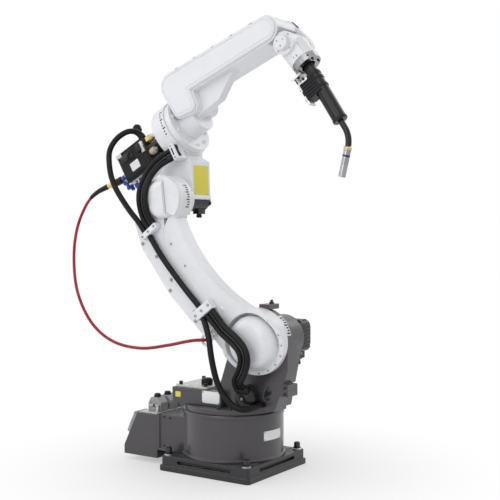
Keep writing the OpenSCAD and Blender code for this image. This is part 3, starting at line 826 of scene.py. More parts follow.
@dataclass
class Harness(Assembly):
    """All cables along the near side of the arm."""

    conduit: float = 9.5
    slim: float = 4.5
    hose: float = 11.0
    liner: float = 6.0
    lay: float = 15.5
    line_aside: float = 5.2
    line_lift: float = 3.5
    arm_hose: Sequence[Triple] = (
        (-251.9, -183, 863.5), (-244.8, -183, 854.1), (-226, -184, 829), (-206, -186, 804.5),
        (-172, -188, 766), (-136, -188.5, 728), (-101, -188, 691), (-68, -186.5, 656.5),
        (-46, -185, 634.5), (-28.3, -184, 616.5), (-21.4, -184, 607.4),
    )
    lower_conduit: Sequence[Triple] = (
        (23.4, -186, 594.5), (30.2, -186, 585.5), (50, -189, 569.5), (87, -197, 537),
        (134, -211, 513), (177, -222, 486), (198, -226, 456), (195, -221, 424), (172, -208, 387),
        (149, -194, 362), (142, -181.5, 346.1), (142, -170.3, 334.9),
    )
    lower_feed: Sequence[Triple] = (
        (-7, -185, 571.6), (-0.2, -185, 562.6), (16, -196, 540), (35, -206, 505), (48, -212, 449),
        (61, -212, 393), (77, -208, 340), (104, -204, 300), (140, -196, 266), (176, -174, 259),
        (196, -122, 268), (196, -100.2, 268),
    )
    upper_conduit: Sequence[Triple] = (
        (-186.3, -97, 1185), (-205, -97.5, 1174.6), (-228, -107, 1160.5), (-250, -128, 1141),
        (-265, -158, 1106), (-270.5, -186, 1066), (-270.5, -206, 1021), (-268.5, -205, 975),
        (-264, -192, 933), (-250.8, -184, 910), (-242.8, -183.5, 899.4),
    )
    upper_feed: Sequence[Triple] = (
        (-405.5, -40, 1243), (-413, -40, 1256.5), (-420, -56, 1268), (-440, -84, 1270),
        (-478, -108, 1242), (-498, -128, 1195), (-488, -142, 1147), (-470, -154, 1101),
        (-439, -164, 1050), (-394, -172, 999), (-346, -180, 952), (-308, -183, 918),
        (-281.7, -183.5, 886.4), (-273.7, -183.5, 875.8),
    )
    wire: Sequence[Triple] = (
        (-525.9, -20, 1088.2), (-541, -20, 1079.8), (-600, -24, 1060), (-658, -32, 1034),
        (-700, -42, 990), (-735, -60, 895), (-731, -85, 776), (-689, -110, 638), (-596, -130, 520),
        (-466, -150, 455), (-313, -166, 440), (-171, -180, 462), (-90, -190, 480), (-40, -194, 490),
        (-12, -186, 492), (-1, -169, 491), (-1, -150, 491),
    )

    def details(self) -> None:
        """Lay every cable and its sleeves."""
        shoulder, elbow = ("lower_arm", "column"), ("elbow", "lower_arm")
        for place, node, route, bodies in (
            ("lower", "lower_conduits", self.lower_conduit, shoulder),
            ("upper", "upper_conduits", self.upper_conduit, elbow),
        ):
            for side, aside in (("inner", -self.lay), ("outer", self.lay)):
                name = f"{place}_conduit_{side}"
                Cable(name, node, route, self.conduit, RUBBER, Skin.CORRUGATED, bodies, aside).build()
            slim = Cable(f"{place}_slim_hose", node, route, self.slim, SATIN, Skin.SMOOTH, bodies)
            slim.build()
            for side, aside in (("inner", -self.line_aside), ("outer", self.line_aside)):
                slim.stripe(f"{place}_light_line_{side}", aside, self.line_lift, MOULDED)
        hose = (self.hose, RUBBER, Skin.SMOOTH)
        Cable("hose_on_arm", "arm_hose", self.arm_hose, *hose, ("lower_arm",), lay="taut").build()
        Cable("feed_cable_lower", "lower_feed_cable", self.lower_feed, *hose, shoulder).build()
        feed = Cable("feed_cable_upper", "upper_feed_cable", self.upper_feed, *hose, elbow)
        feed.build()
        feed.sleeve("feed_cable_boot", ((0, 15), (12, 15), (14, 13.6), (40, 12.2), (44, 11.2)), BLACK)
        wire = Cable("wire_liner_hose", "wire_liner", self.wire, self.liner, LINER, Skin.SMOOTH, elbow)
        wire.build()
        wire.sleeve("liner_adapter", ((1, 15), (34, 15), (36, 13.5), (46, 13.5)), BLACK)
        wire.sleeve("liner_brass_nut", ((46, 11.5), (48, 13), (66, 13), (68, 10.6), (78, 10.6)), BRASS)
        wire.sleeve("liner_boot", ((78, 11), (90, 11), (130, 9.4), (172, 7.4), (177, 6.3)), BLACK)


@dataclass
class Base(Assembly):
    """Floor plate, drum and connector box."""

    body: str = "base"
    bolt_at: float = 172.5
    plate_top: float = 55.0
    drum_r: float = 187.0
    lid_top: float = 192.0
    hoods: tuple[float, ...] = (-73.0, -11.0, 51.0)
    castings: tuple[Casting, ...] = (
        # The floor plate's darker enamel paints the shade on its sides.
        Casting("base_plate", PLATE_PAINTED_SHADE, 2.0),
        Casting("base_drum", GREY, 2.5),
        Casting("connector_box", GREY, 3.0),
        Casting("connector_lid", PALE, 0.8),
        Casting("connector_blocks", MOULDED, 3.0),
        Casting("rear_plug", MOULDED, 4.0),
    )

    def details(self) -> None:
        """Add the bolts, the plates and the connector parts."""
        self._bolts()
        self._drum()
        self._connectors()

    def _bolts(self) -> None:
        """Add the floor bolts on their washers."""
        washers = self.add("floor_bolt_washers", STEEL)
        heads = self.add("floor_bolt_heads", BLACK_STEEL)
        for x, y in four(self.bolt_at, self.bolt_at):
            spot = at(FLOOR, x, y, self.plate_top)
            washers.washer(spot, 17.5, 5)
            heads.lathe(spot @ shift(0, 0, 5), [(14.5, 0), (14.5, 3.4), (13.5, 4.2), (11.6, 4.4)], 28)
            heads.screw(spot @ shift(0, 0, 9), 11.6, 18)

    def _drum(self) -> None:
        """Add the drum's top lip, a bare plate with rivets and the neck's screws."""
        rim = [(186.6, 209), (189, 210), (189.8, 214), (189.8, 221), (188.6, 223.6), (184, 224)]
        self.add("drum_top_lip", GREY).hoop(FLOOR, rim, 96)
        plate = self.add("bare_drum_plate", LABEL)
        plate.arc_plate(FLOOR, self.drum_r + 0.2, (-20, 10), (128, 162), 0.8)
        rivets = self.add("drum_plate_rivets", STEEL)
        for angle, height in product((-18.6, 8.6), (132, 158)):
            spot = at(FLOOR, self.drum_r + 1.0, 0, height, Face.FRONT)
            rivets.lathe(turn(angle, "Z") @ spot, DOMED, 12)
        screws = self.add("neck_screws", BLACK_STEEL)
        for (x, y), z in product(((-229, -128), (-196, -134)), (74, 182)):
            screws.screw(at(FLOOR, x, y, z, Face.NEAR), 3.6, 2.6)

    def _connectors(self) -> None:
        """Add the hoods' latches and caps, the lid's screws and the covers of the rear plugs."""
        levers = self.add("hood_latches", STEEL)
        caps = self.add("hood_caps", BLACK)
        pins = self.add("hood_latch_pins", BLACK_STEEL)
        dome = [(12.5, 0), (12.5, 5), (11.2, 7.4), (7, 8.8), (0.4, 9.2)]
        for y in self.hoods:
            for side, face in ((-1, Face.NEAR), (1, Face.FAR)):
                edge = y + 23 * side
                levers.box(at(FLOOR, -303, edge, 214, face), (50, 7, 2.6), 1.0)
                pin = at(FLOOR, -303, edge + 2.6 * side, 214, face)
                pins.lathe(pin, [(5, 0), (5, 1.6), (3.6, 2.6), (0.4, 2.8)], 18)
            levers.box(at(FLOOR, -325.4, y, 222, Face.BACK), (12, 51, 3.4), 1.2)
            caps.nut(at(FLOOR, -306, y, 244), 15, 5)
            caps.lathe(at(FLOOR, -306, y, 249), dome, 28)
        screws = self.add("lid_screws_and_fitting", STEEL)
        for x, y in product((-346, -274), (-118, -42, 19, 118)):
            screws.lathe(at(FLOOR, x, y, self.lid_top), DOMED, 14)
        fitting = at(FLOOR, -280, -104, self.lid_top)
        screws.nut(fitting, 9, 6)
        screws.lathe(fitting @ shift(0, 0, 6), [(6.5, 0), (6.5, 9), (5, 11), (5, 17), (3.2, 18)], 22)
        slope = at(FLOOR, -360, 0, 188) @ turn(26.2, "Y")
        covers = self.add("rear_plug_covers", MOULDED)
        fixings = self.add("rear_plug_screws", BLACK_STEEL)
        for y in (-62, 48):
            face = slope @ shift(-34, y, -67) @ Face.BACK.turn()
            covers.slab(face, rounded(78, 60, 7), 4, 1.5)
            for u, v in four(32, 23):
                fixings.screw(face @ shift(u, v, 4), 3.6, 2.4)


@dataclass
class Column(Assembly):
    """Turntable, shoulder casting, motor box and shoulder motor."""

    body: str = "column"
    turn_top: float = 244.3
    axis: Triple = (180.0, 0.0, 493.0)
    castings: tuple[Casting, ...] = (
        Casting("turntable", GREY, 2.0),
        Casting("shoulder_casting", GREY, 2.0),
        Casting("motor_box", GREY, 3.0),
        Casting("motor_box_lid", PALE, 2.0),
        Casting("motor_box_knobs", BLACK, 1.5),
        Casting("shoulder_motor", SATIN, 1.8),
        Casting("conduit_gland", SATIN, 0.0),
    )

    def details(self) -> None:
        """Add the plates, screws, motor parts and gland parts."""
        self._plates()
        self._screws()
        self._motor()
        self._gland()

    def _plates(self) -> None:
        """Add the bare plates and the index strip of the shoulder."""
        plates = self.add("bare_column_plates", LABEL)
        yellow = self.add("plain_yellow_column_plate", YELLOW)
        rivets = self.add("column_plate_rivets", STEEL)
        plates.slab(at(FLOOR, -8, -135, 278, Face.NEAR), rounded(78, 44, 3), 0.8, 0.3)
        for u, v in four(35, 18):
            rivets.lathe(at(FLOOR, -8 + u, -135.8, 278 + v, Face.NEAR), DOMED, 12)
        yellow.slab(at(FLOOR, -158, -135, 277, Face.NEAR), rounded(24, 20, 2), 0.6, 0.2)
        rim = at(FLOOR, *self.axis, Face.NEAR)
        plates.arc_plate(rim, 117.1, (12, 51), (72, 97), 0.6)
        self.add("shoulder_index_marks", BLACK).ticks(rim, 117.7, (16, 48, 5), (75, 88))

    def _screws(self) -> None:
        """Add bolts and lid screws, the waist cover plate and the ribs of the large knob."""
        ring = self.add("column_bolts", BLACK_STEEL)
        for angle in (-75, -60, -45, 60, 75, 90, 105, 120, 135, 150):
            ring.screw(turn(angle, "Z") @ at(FLOOR, 166, 0, self.turn_top), 6.5, 7)
        for x, y in ((70, 92), (106, 112), (142, 92)):
            ring.screw(at(FLOOR, x, y, self.turn_top + 16), 8, 9)
        for z in (312, 334):
            ring.screw(at(FLOOR, 286, -99.7, z, Face.NEAR), 5, 4)
        ring.nut(at(FLOOR, 210, -66, 623.6), 9.5, 8)
        ring.lathe(at(FLOOR, 210, -66, 631.6), [(5, 0), (5, 6), (4, 7.4), (0.3, 7.6)], 18)
        lid = self.add("motor_lid_screws", STEEL)
        for x, y in product((-176, -107, -40), (-121, 46)):
            lid.lathe(at(FLOOR, x, y, self.turn_top + 66), DOMED, 14)
        cover = self.add("waist_cover_plate", GREY)
        cover.slab(at(FLOOR, 8.2, -12, self.turn_top), rounded(61, 170, 6), 2.6, 0.8)
        for x, y in product((-16, 32), (-88, 64)):
            cover.screw(at(FLOOR, x, y, self.turn_top + 2.6), 4, 3)
        ribs = self.add("large_knob_ribs", BLACK)
        knob = at(FLOOR, -72, -70, self.turn_top + 66)
        for n in range(18):
            ribs.box(knob @ turn(20 * n, "Z") @ shift(20, 0, 3), (2.6, 3.2, 17), 0.6)
        ribs.lathe(knob @ shift(0, 0, 24), [(15, 0), (14, 2.4), (4, 3), (0.4, 3)], 28)

    def _motor(self) -> None:
        """Add ribs, plugs and screws to the shoulder motor."""
        x, _, z = self.axis
        ribs = self.add("shoulder_motor_ribs", SATIN)
        for n in range(7):
            ribs.box(at(FLOOR, x + 58, 120, z - 42 + 14 * n, Face.FRONT), (4.6, 66, 3.4), 1.0)
            ribs.box(at(FLOOR, x - 42 + 14 * n, 120, z + 58), (4.6, 66, 3.4), 1.0)
        ribs.slab(at(FLOOR, x + 8, 125, z - 84, Face.DOWN), rounded(50, 40, 8), 5, 2)
        plugs = self.add("shoulder_motor_plugs", BLACK)
        plug = [(11, 0), (11, 6), (12.4, 7), (12.4, 16), (10.5, 18), (8, 18.4), (0.4, 18.4)]
        for dx in (-6, 22):
            plugs.lathe(at(FLOOR, x + dx, 125, z - 89, Face.DOWN), plug, 28)
        screws = self.add("shoulder_motor_screws", STEEL)
        for u, v in four(40, 40):
            screws.screw(at(FLOOR, x + u, 176, z + v, Face.FAR), 5, 5)
        for u, v in four(61, 61):
            screws.screw(at(FLOOR, x + u, 84, z + v, Face.FAR), 4.4, 5)

    def _gland(self) -> None:
        """Add the foot ring, the screw and the clamp band of the conduit gland."""
        foot = at(FLOOR, 142, -99.7, 290.3, Face.NEAR)
        ring = self.add("gland_foot_ring", SATIN)
        ring.hoop(foot, [(41.4, 0), (45.6, 0), (45.6, 4.4), (44, 6), (41.4, 6)], 64)
        self.add("gland_screw", ZINC).screw(foot @ shift(0, 0, 56), 5.5, 3.4)
        spigot = at(FLOOR, 142, -125.7, 290.3) @ turn(45, "X")
        self.add("gland_clamp_band", BLACK).slab(spigot @ shift(0, 0, 44), rounded(57, 25, 12), 13, 2.5)


@dataclass
class LowerArm(Assembly):
    """White swept arm with its covers, cable sheet and clamps."""

    body: str = "lower_arm"
    near: float = -165.0
    sheet: float = -168.0
    head_r: float = 88.0
    flange_slope: float = 0.3373
    length: float = 635.0
    castings: tuple[Casting, ...] = (
        Casting("arm_casting", WHITE, 1.5),
        Casting("shoulder_dome", WHITE, 0.0),
        Casting("elbow_dome", WHITE, 0.6),
        Casting("cable_sheet", WHITE, 0.8),
        Casting("lower_clamp", WHITE, 3.0),
        Casting("upper_clamp", WHITE, 3.0),
        Casting("guide_ring", WHITE, 1.5),
    )

    def details(self) -> None:
        """Add the arm's screws and marks."""
        self._screws()
        self._marks()

    def _screws(self) -> None:
        """Add the screws of the sheet, clamps, ring and flange, and a round cap."""
        dark = self.add("arm_screws", ZINC)
        bright = self.add("sheet_washers", STEEL)
        for s, w in ((589, 150), (483, 152), (374, 148), (220, 131), (560, 176), (345, 175), (190, 146)):
            bright.washer(at(ARM, s, self.sheet, w, Face.NEAR), 8, 1.2)
            dark.screw(at(ARM, s, self.sheet - 1.2, w, Face.NEAR), 5.2, 4)
        for depth, radius, height, spots in (
            (self.near, 4.6, 3, ((481, 70), (379, 66))),
            (-201, 5, 4, ((194, 45), (194, 81), (194, 114))),
            (-199, 4.4, 4, ((567, 75), (567, 108), (567, 142))),
            (-173, 3.4, 2.6, ((100, 108), (117, 108))),
        ):
            for s, w in spots:
                dark.screw(at(ARM, s, depth, w, Face.NEAR), radius, height)
        for angle in range(110, 251, 20):
            s, w = polar(112, angle)
            depth = min(-122.0, self.near + (24 - s) * self.flange_slope)
            dark.screw(at(ARM, s, depth + 1.2, w, Face.NEAR), 3.4, 3)
        cap = self.add("round_white_cap", LABEL)
        spot = at(ARM, 159, self.near, 24, Face.NEAR)
        cap.lathe(spot, [(8, 0), (8, 2), (6.6, 3.4), (3, 4.2), (0.3, 4.3)], 24)

    def _marks(self) -> None:
        """Add the elbow's index strip and a black plate that paints the shade in the pocket."""
        head = at(ARM, self.length, 0, 0, Face.NEAR)
        strip = self.add("elbow_index_strip", LABEL)
        strip.arc_plate(head, self.head_r + 0.1, (-150, -84), (118, 146), 0.6)
        self.add("elbow_index_marks", BLACK).ticks(head, self.head_r + 0.7, (-146, -87, 6), (121, 134))
        # A black plate in the pocket paints the shade of the deep opening.
        outline = inset([(-84, 58), (-61, 14), (-54, 40)], 1.0)
        self.add("pocket_painted_shade", BLACK).slab(head @ shift(0, 0, 131), outline, 5, 0)


@dataclass
class Elbow(Assembly):
    """Elbow casting with its motor, bracket and wire feeder."""

    body: str = "elbow"
    hub: Triple = (-202.15, 0.0, 1000.13)
    castings: tuple[Casting, ...] = (
        Casting("elbow_casting", WHITE, 1.6),
        Casting("elbow_motor", SATIN, 1.0),
        Casting("hose_bracket", WHITE, 1.5),
        Casting("feeder_bracket", STEEL, 1.0),
        Casting("feeder_box", BLACK, 2.5),
        Casting("feeder_outlet", STEEL, 0.8),
        Casting("feeder_fittings", BLUE, 1.0),
        Casting("feeder_inlet", BLACK, 1.0),
    )

    def details(self) -> None:
        """Add the parts of the block, the bracket and the feeder."""
        self._block()
        self._bracket()
        self._feeder_face()
        self._feeder_pipes()

    def _block(self) -> None:
        """Add the plain yellow plate, the index strip, the motor's plugs and the screws."""
        front = ELBOW @ shift(82.5, -2, 39.5) @ turn(117.1, "Y")
        self.add("plain_yellow_elbow_plate", YELLOW).slab(front, rounded(112, 92, 5), 0.8, 0.3)
        rivets = self.add("elbow_plate_rivets", STEEL)
        for u, v in four(51, 41):
            rivets.lathe(front @ shift(u, v, 0.8), DOMED, 12)
        rim = ROLL @ Face.FRONT.turn()
        self.add("roll_index_strip", LABEL).arc_plate(rim, 116.1, (-128, -72), (90, 106), 0.6)
        self.add("roll_index_marks", BLACK).ticks(rim, 116.7, (-125, -75, 6), (93, 99))
        plugs = self.add("elbow_motor_plugs", BLACK)
        plug = [(9.5, 0), (9.5, 4), (11, 5), (11, 12), (9, 14), (6, 14.4), (0.4, 14.4)]
        for x, y, z in ((-20, -13, -55), (16, 35, -53)):
            plugs.lathe(at(FLOOR, self.hub[0] + x, y, self.hub[2] + z, Face.DOWN), plug, 26)
        screws = self.add("elbow_screws", ZINC)
        for x, z in four(28, 28):
            screws.screw(at(ELBOW, x, 76, z, Face.FAR), 4.4, 4)
        for angle in range(0, 360, 30):
            screws.screw(ROLL @ turn(angle, "X") @ at(FLOOR, 40, 0, 96, Face.BACK), 5, 4)

    def _bracket(self) -> None:
        """Add the hose bracket's cover plate, a black plate that paints the shade in its slot, and
        screws.
        """
        near = at(ELBOW, 92, -114, 154, Face.NEAR)
        self.add("hose_bracket_plate", WHITE).slab(near, rounded(20, 60, 3), 2.2, 0.6)
        # A thin black plate paints the shade inside the bracket's slot.
        self.add("hose_bracket_slot_painted_shade", BLACK).slab(near @ shift(0, 0, 2.2), rounded(6, 30, 3), 0.5, 0.1)
        screws = self.add("hose_bracket_screws", ZINC)
        for v in (-24, 24):
            screws.screw(near @ shift(0, v, 2.2), 3.6, 3)

    def _feeder_face(self) -> None:
        """Add the feeder's lid details, trim plates and plain label."""
        face = at(ROLL, -122, -66, -5, Face.NEAR)
        self.add("bare_feeder_plate", LABEL).slab(face @ shift(-2, -22, 0), rounded(46, 34, 3), 0.7, 0.2)
        dark = self.add("feeder_lid_mouldings", SATIN)
        dark.slab(face @ shift(-24, 26, 0), rounded(64, 30, 4), 3, 1.2)
        for n in range(6):
            dark.box(face @ shift(38, -44 + 9 * n, 0), (34, 4, 2), 0.8)
        dark.box(face @ shift(46, 27, 0), (20, 34, 12), 2)
        steel = self.add("feeder_bright_plates", STEEL)
        steel.slab(at(ROLL, -172, -8, 56), rounded(54, 100, 3), 2, 0.6)
        steel.slab(at(ROLL, -196, -8, 18, Face.BACK), rounded(70, 100, 3), 2, 0.6)
        steel.slab(at(ROLL, -181, -60, 45, Face.NEAR), rounded(28, 20, 3), 7, 1)
        steel.box(face @ shift(62, 22, -6), (16, 46, 12), 1.6)
        screws = self.add("feeder_screws", BLACK_STEEL)
        for u, v in product((-64, 60), (-50, 38)):
            screws.screw(face @ shift(u, v, 0), 3.8, 3)
        for y in (-46, 28):
            screws.screw(at(ROLL, -184, y, 58), 4, 3)
            screws.screw(at(ROLL, -198, y, 40, Face.BACK), 4, 3)

    def _feeder_pipes(self) -> None:
        """Add the knob, the brass, beige and black pipe parts and the blue fittings."""
        post = at(ROLL, -78, -20, 56)
        foot = [(14, 0), (14, 6), (12, 8), (6, 9), (6, 42)]
        grip = [(13, 43), (15.4, 46), (15.4, 68), (12.6, 72), (6, 73), (5, 77), (0.4, 77.4)]
        knob = self.add("feeder_pressure_knob", BLACK).lathe(post, foot + grip, 28)
        for n in range(16):
            knob.box(post @ turn(22.5 * n, "Z") @ shift(15.4, 0, 48), (2, 3, 18), 0.5)
        brass = self.add("brass_pipe_nut", BRASS)
        brass.nut(at(ROLL, -46, -34, 40, Face.FRONT), 18, 16)
        collar = [(14, 0), (14, 9), (12.6, 10), (12.6, 15), (11.1, 16)]
        brass.lathe(at(ROLL, -30, -34, 40, Face.FRONT), collar, 28)
        self.add("beige_plug", BEIGE).lathe(
            at(ROLL, -48, -42, -14, Face.FRONT),
            [(11, 0), (11, 4), (14, 5), (14, 22), (12, 25), (6, 26), (6, 34), (0.4, 35)], 28,
        )
        self.add("outlet_sleeve", BLACK).lathe(
            at(ROLL, -30, 0, 0, Face.FRONT),
            [(20.2, 0), (24, 1), (24, 14), (22.6, 15), (22.6, 27), (24, 28), (24, 38), (20.2, 40)], 32,
        )
        blue = self.add("blue_push_fittings", BLUE)
        cuffs = self.add("push_fitting_nuts", STEEL)
        push = [(8.6, 0), (9.4, 1.2), (9.4, 13), (7.4, 15), (7.4, 21), (5, 22), (0.4, 22)]
        drop = [(7, 0), (7, 20), (8.4, 21), (8.4, 29), (6, 31), (0.4, 31)]
        for spot in (
            at(ROLL, -196, -44, -54, Face.BACK),
            at(ROLL, -196, -44, -30, Face.BACK),
            at(ROLL, -196, -20, -56, Face.BACK),
            at(ROLL, -174, -38, -74, Face.DOWN),
        ):
            cuffs.nut(spot, 10.5, 7)
            blue.lathe(spot @ shift(0, 0, 7), push, 26)
        for y, b in ((-44, -54), (-20, -56)):
            blue.lathe(at(ROLL, -211, y, b, Face.DOWN), drop, 24)
        for x in (-150, -122):
            spot = at(ROLL, x, -30, -100, Face.DOWN)
            cuffs.lathe(spot @ shift(0, 0, -20), [(9.3, 0), (11.2, 1), (11.2, 7), (9.3, 8)], 26)
            blue.lathe(spot, [(7.2, 0), (7.2, 4), (5.4, 5), (0.4, 5.2)], 22)


@dataclass
class Forearm(Assembly):
    """Boot-shaped forearm with its covers and the wrist cheek."""

    body: str = "forearm"
    heel: Pair = (186.0, 132.0)
    tip: Pair = (630.0, 79.0)
    radii: Pair = (51.0, 44.0)
    lean: float = 7.7
    outward: Pair = (0.134, 0.991)
    cover_fall: float = 0.12
    castings: tuple[Casting, ...] = (
        Casting("forearm_casting", WHITE, 1.8),
        Casting("side_cover", WHITE, 1.2),
        Casting("far_cover", WHITE, 1.2),
        Casting("wrist_nose", WHITE, 1.5, flat=False),
    )

    def details(self) -> None:
        """Add the clips and screws."""
        self._clips()
        self._screws()

    def _clips(self) -> None:
        """Set small clips over the upper edge of the near cover."""
        clips = self.add("cover_clips", ZINC)
        for part in (0.10, 0.30, 0.50, 0.70, 0.90):
            radius = self.radii[0] + (self.radii[1] - self.radii[0]) * part
            a, b = (h + (t - h) * part + o * radius for h, t, o in zip(self.heel, self.tip, self.outward))
            clips.box(ROLL @ shift(a, -81, b) @ turn(self.lean, "Y"), (13, 8, 2), 0.7)

    def _screws(self) -> None:
        """Add the screws of the roll flange, far cover and wrist cheek, and a small black block on the
        cheek.
        """
        screws = self.add("forearm_screws", ZINC)
        painted = self.add("painted_flange_screws", WHITE)
        for angle in (20, -20, -55, -90, -125, -160, 160):
            painted.screw(at(ROLL, 134, *polar(88, angle), Face.FRONT), 6.4, 6)
        for a, b in ((610, 110), (640, 118), (668, 62), (684, 30), (640, 34)):
            screws.screw(at(ROLL, a, 84.3, b, Face.FAR), 5, 4)
        for a in (196, 358, 520):
            b = self.heel[1] - (a - self.heel[0]) * self.cover_fall
            screws.screw(at(ROLL, a, 71, b, Face.FAR), 4.4, 3)
        # A small black block stands for the dark mark on the wrist cheek.
        cheek = ROLL @ shift(678.4, 72, 93) @ turn(69.6, "Y")
        self.add("cheek_dark_mark", BLACK).box(cheek, (34, 9, 2.4), 1.0)


@dataclass
class Wrist(Assembly):
    """Wrist barrel, cap and tool flange."""

    body: str = "wrist"
    castings: tuple[Casting, ...] = (
        Casting("wrist_housing", WHITE, 1.4),
        Casting("wrist_cap", WHITE, 0.0),
        # The flange's darkened steel paints dark reflections.
        Casting("tool_flange", FLANGE_STEEL_PAINTED_DARK, 1.2),
    )

    def details(self) -> None:
        """Add the screws, marks and bolts."""
        screws = self.add("wrist_screws", ZINC)
        for x, z in ring_of(35, 4, 15):
            screws.screw(at(WRIST, x, -64, z, Face.NEAR), 2.8, 2.4)
        for x, z in ring_of(14, 3, 90):
            screws.screw(at(WRIST, x, -86, z, Face.NEAR), 2.8, 2)
        axis = WRIST @ Face.FRONT.turn()
        self.add("wrist_index_marks", BLACK).ticks(axis, 52.1, (-97, -83, 14), (62, 66))
        # Black plates on the flange rim paint the shade inside its slots.
        slots = self.add("flange_slot_painted_shade", BLACK, "tool")
        for n in range(4):
            slots.arc_plate(axis, 52.05, (90 * n - 46, 90 * n - 38), (88, 94), 0.3)
        bolts = self.add("flange_bolts", BLACK_STEEL, "tool")
        for x, y in ring_of(41, 6, 30):
            if x < 20:
                bolts.screw(axis @ shift(x, y, 104), 4.4, 5)


@dataclass
class Torch(Assembly):
    """Welding torch with its bracket and clamp."""

    body: str = "tool"
    castings: tuple[Casting, ...] = (
        Casting("torch_bracket", ALLOY, 1.2),
        Casting("torch_clamp", BLACK, 1.2),
        Casting("torch_handle", GLOSSY, 2.0),
        Casting("torch_neck", GLOSSY, 0.0),
        # The nozzle's darkened chrome paints dark reflections.
        Casting("torch_nozzle", CHROME_PAINTED_DARK, 0.8),
        Casting("contact_tip", COPPER, 0.4),
    )

    def details(self) -> None:
        """Add the ribs, rings and screws, black plates that paint the shade in the slots, and a band that
        paints a dark reflection on the nozzle.
        """
        ribs = self.add("torch_ribs", BLACK)
        for n, (y, face) in product(range(6), ((-29, Face.NEAR), (29, Face.FAR))):
            ribs.box(at(TORCH, 52 + 11 * n, y, -23, face), (5, 58, 2.6), 1.0)
        for x, r, h in ((55, 28.6, 11), (88, 28.6, 11), (36, 27.6, 10), (226, 27.6, 10)):
            ribs.hoop(at(TORCH, x, 0, 0, Face.FRONT), [(25.5, 0), (r, 1), (r, h - 1), (25.5, h)], 40)
        screws = self.add("torch_bracket_screws", BLACK_STEEL)
        for x, y in product((58, 100), (-10, 10)):
            screws.screw(at(TORCH, x, y, -66, Face.DOWN), 4.6, 4)
        for y in (-16, 16):
            screws.screw(WRIST @ shift(113, y, -50) @ Face.FRONT.turn(), 5, 5)
        # Thin black plates paint the shade inside the bracket's slots.
        slots = self.add("torch_bracket_slot_painted_shade", BLACK)
        for x in (26, 79):
            slots.slab(at(TORCH, x, 0, -66, Face.DOWN), rounded(22, 7, 3.4), 0.4, 0.1)
            slots.slab(at(TORCH, x, -20, -61, Face.NEAR), rounded(20, 5, 2.4), 0.4, 0.1)
        nozzle = NOZZLE @ Face.FRONT.turn()
        collar = [(11.2, -4), (13, -3), (14.6, -1), (14.6, 5), (14.1, 6.5), (12, 6.5)]
        self.add("nozzle_brass_ring", BRASS).hoop(nozzle, collar, 40)
        # A black steel band round the nozzle paints a dark reflection on the chrome.
        reflection_band = [(12.4, 14), (13.5, 14.4), (13.5, 20.6), (12.4, 21)]
        self.add("nozzle_painted_dark_reflection", BLACK_STEEL).hoop(nozzle @ shift(0, 0, 12), reflection_band, 48)


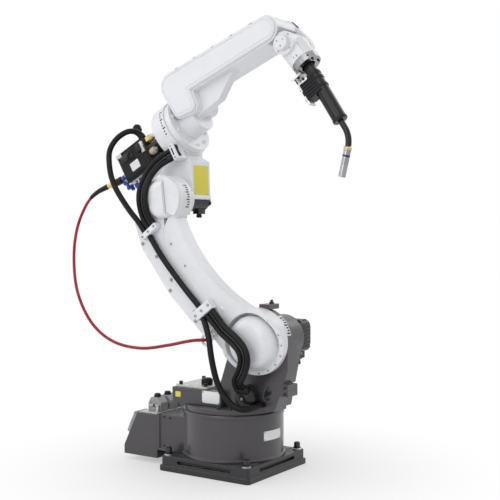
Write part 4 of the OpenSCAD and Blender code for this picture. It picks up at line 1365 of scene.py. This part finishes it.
@dataclass
class Studio:
    """Floor, soft light and camera."""

    camera_at: Triple = (2.090, -3.024, 0.902)
    azimuth: float = 33.70
    pitch: float = 1.41
    lens: float = 71.0
    ambient: float = 0.60
    floor_half: float = 14.0
    fade: Pair = (0.18, 1.05)
    haze: float = 0.4

    def build(self) -> None:
        """Set up the whole stage."""
        self._camera()
        self._floor()
        self._world()
        self._lamp("key", (1.0, -2.6, 3.6), (0.0, 0.0, 0.9), 2.4, 19.0)
        self._lamp("fill", (-2.8, -1.8, 2.6), (-0.1, 0.0, 0.8), 2.4, 18.0)
        self._lamp("front", (-0.2, -3.9, 1.7), (0.0, 0.0, 0.9), 2.0, 25.0)
        self._lamp("back", (1.2, 2.6, 3.0), (0.0, 0.0, 0.9), 2.2, 18.0)
        bpy.context.scene.view_settings.view_transform = "Standard"

    def _camera(self) -> None:
        """Place the camera at the photograph's viewing angle."""
        data = bpy.data.cameras.new("camera")
        data.lens = self.lens
        data.sensor_width = 36.0
        made = bpy.data.objects.new("camera", data)
        made.location = self.camera_at
        made.rotation_euler = (math.pi / 2 - math.radians(self.pitch), 0.0, math.radians(self.azimuth))
        bpy.context.scene.collection.objects.link(made)
        bpy.context.scene.camera = made

    def _lamp(self, name: str, spot: Triple, target: Triple, size: float, power: float) -> None:
        """Add one soft square lamp."""
        data = bpy.data.lights.new(name, "AREA")
        data.size = size
        data.energy = power
        made = bpy.data.objects.new(name, data)
        made.location = spot
        made.rotation_euler = (Vector(target) - Vector(spot)).to_track_quat("-Z", "Y").to_euler()
        bpy.context.scene.collection.objects.link(made)

    def _seen(self, shader: Shader) -> Sock:
        """Return 1 for what the camera sees, also mirrored or through glass, and 0 for other light."""
        seen, glossy, through = (
            shader.node("ShaderNodeLightPath", out=f"Is {kind} Ray")
            for kind in ("Camera", "Glossy", "Transmission")
        )
        return seen.most(glossy).most(through)

    def _world(self) -> None:
        """White surroundings for what looks at them, and a dimmer light on the object."""
        world = bpy.data.worlds.new("surroundings")
        world.use_nodes = True
        shader = Shader(world.node_tree)
        dim, white = (
            shader.node("ShaderNodeBackground", {}, {"Color": FULL_WHITE, "Strength": strength})
            for strength in (self.ambient, 1.0)
        )
        mixed = shader.node("ShaderNodeMixShader", {}, {0: self._seen(shader), 1: dim, 2: white})
        shader.node("ShaderNodeOutputWorld", {}, {"Surface": mixed})
        bpy.context.scene.world = world

    def _floor(self) -> None:
        """Lay a pale floor that fades to white far from the object."""
        mesh = bpy.data.meshes.new("floor")
        far = self.floor_half
        ground = [(-far, -far, 0), (far, -far, 0), (far, far, 0), (-far, far, 0)]
        mesh.from_pydata(ground, [], [(0, 1, 2, 3)])
        material = bpy.data.materials.new("pale_floor")
        material.use_nodes = True
        shader = Shader(material.node_tree)
        seen = self._seen(shader)
        pale = shader.tint(shader.noise(60.0, 3.0), (0.91, 0.91, 0.912), (0.94, 0.94, 0.942))
        near = shader.node("ShaderNodeBsdfPrincipled", {}, {"Base Color": pale, "Roughness": 0.7})
        white = shader.node("ShaderNodeEmission", {}, {"Color": FULL_WHITE, "Strength": 1.0})
        reach = shader.node("ShaderNodeVectorMath", {"operation": "LENGTH"}, {0: shader.place()}, "Value")
        mask = (reach.rise(*self.fade) * (1 - self.haze) + self.haze) * seen
        mixed = shader.node("ShaderNodeMixShader", {}, {0: mask, 1: near, 2: white})
        shader.node("ShaderNodeOutputMaterial", {}, {"Surface": mixed})
        mesh.materials.append(material)
        floor = bpy.data.objects.new("floor", mesh)
        bpy.context.scene.collection.objects.link(floor)


def main() -> None:
    """Load the frame, set up the stage and build every sub-assembly."""
    logging.basicConfig(level=logging.INFO, format="%(message)s")
    for left in list(bpy.data.objects):
        bpy.data.objects.remove(left, do_unlink=True)
    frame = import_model()
    Studio().build()
    for assembly in (Harness(), Base(), Column(), LowerArm(), Elbow(), Forearm(), Wrist(), Torch()):
        assembly.build(frame)


if __name__ == "__main__":
    main()
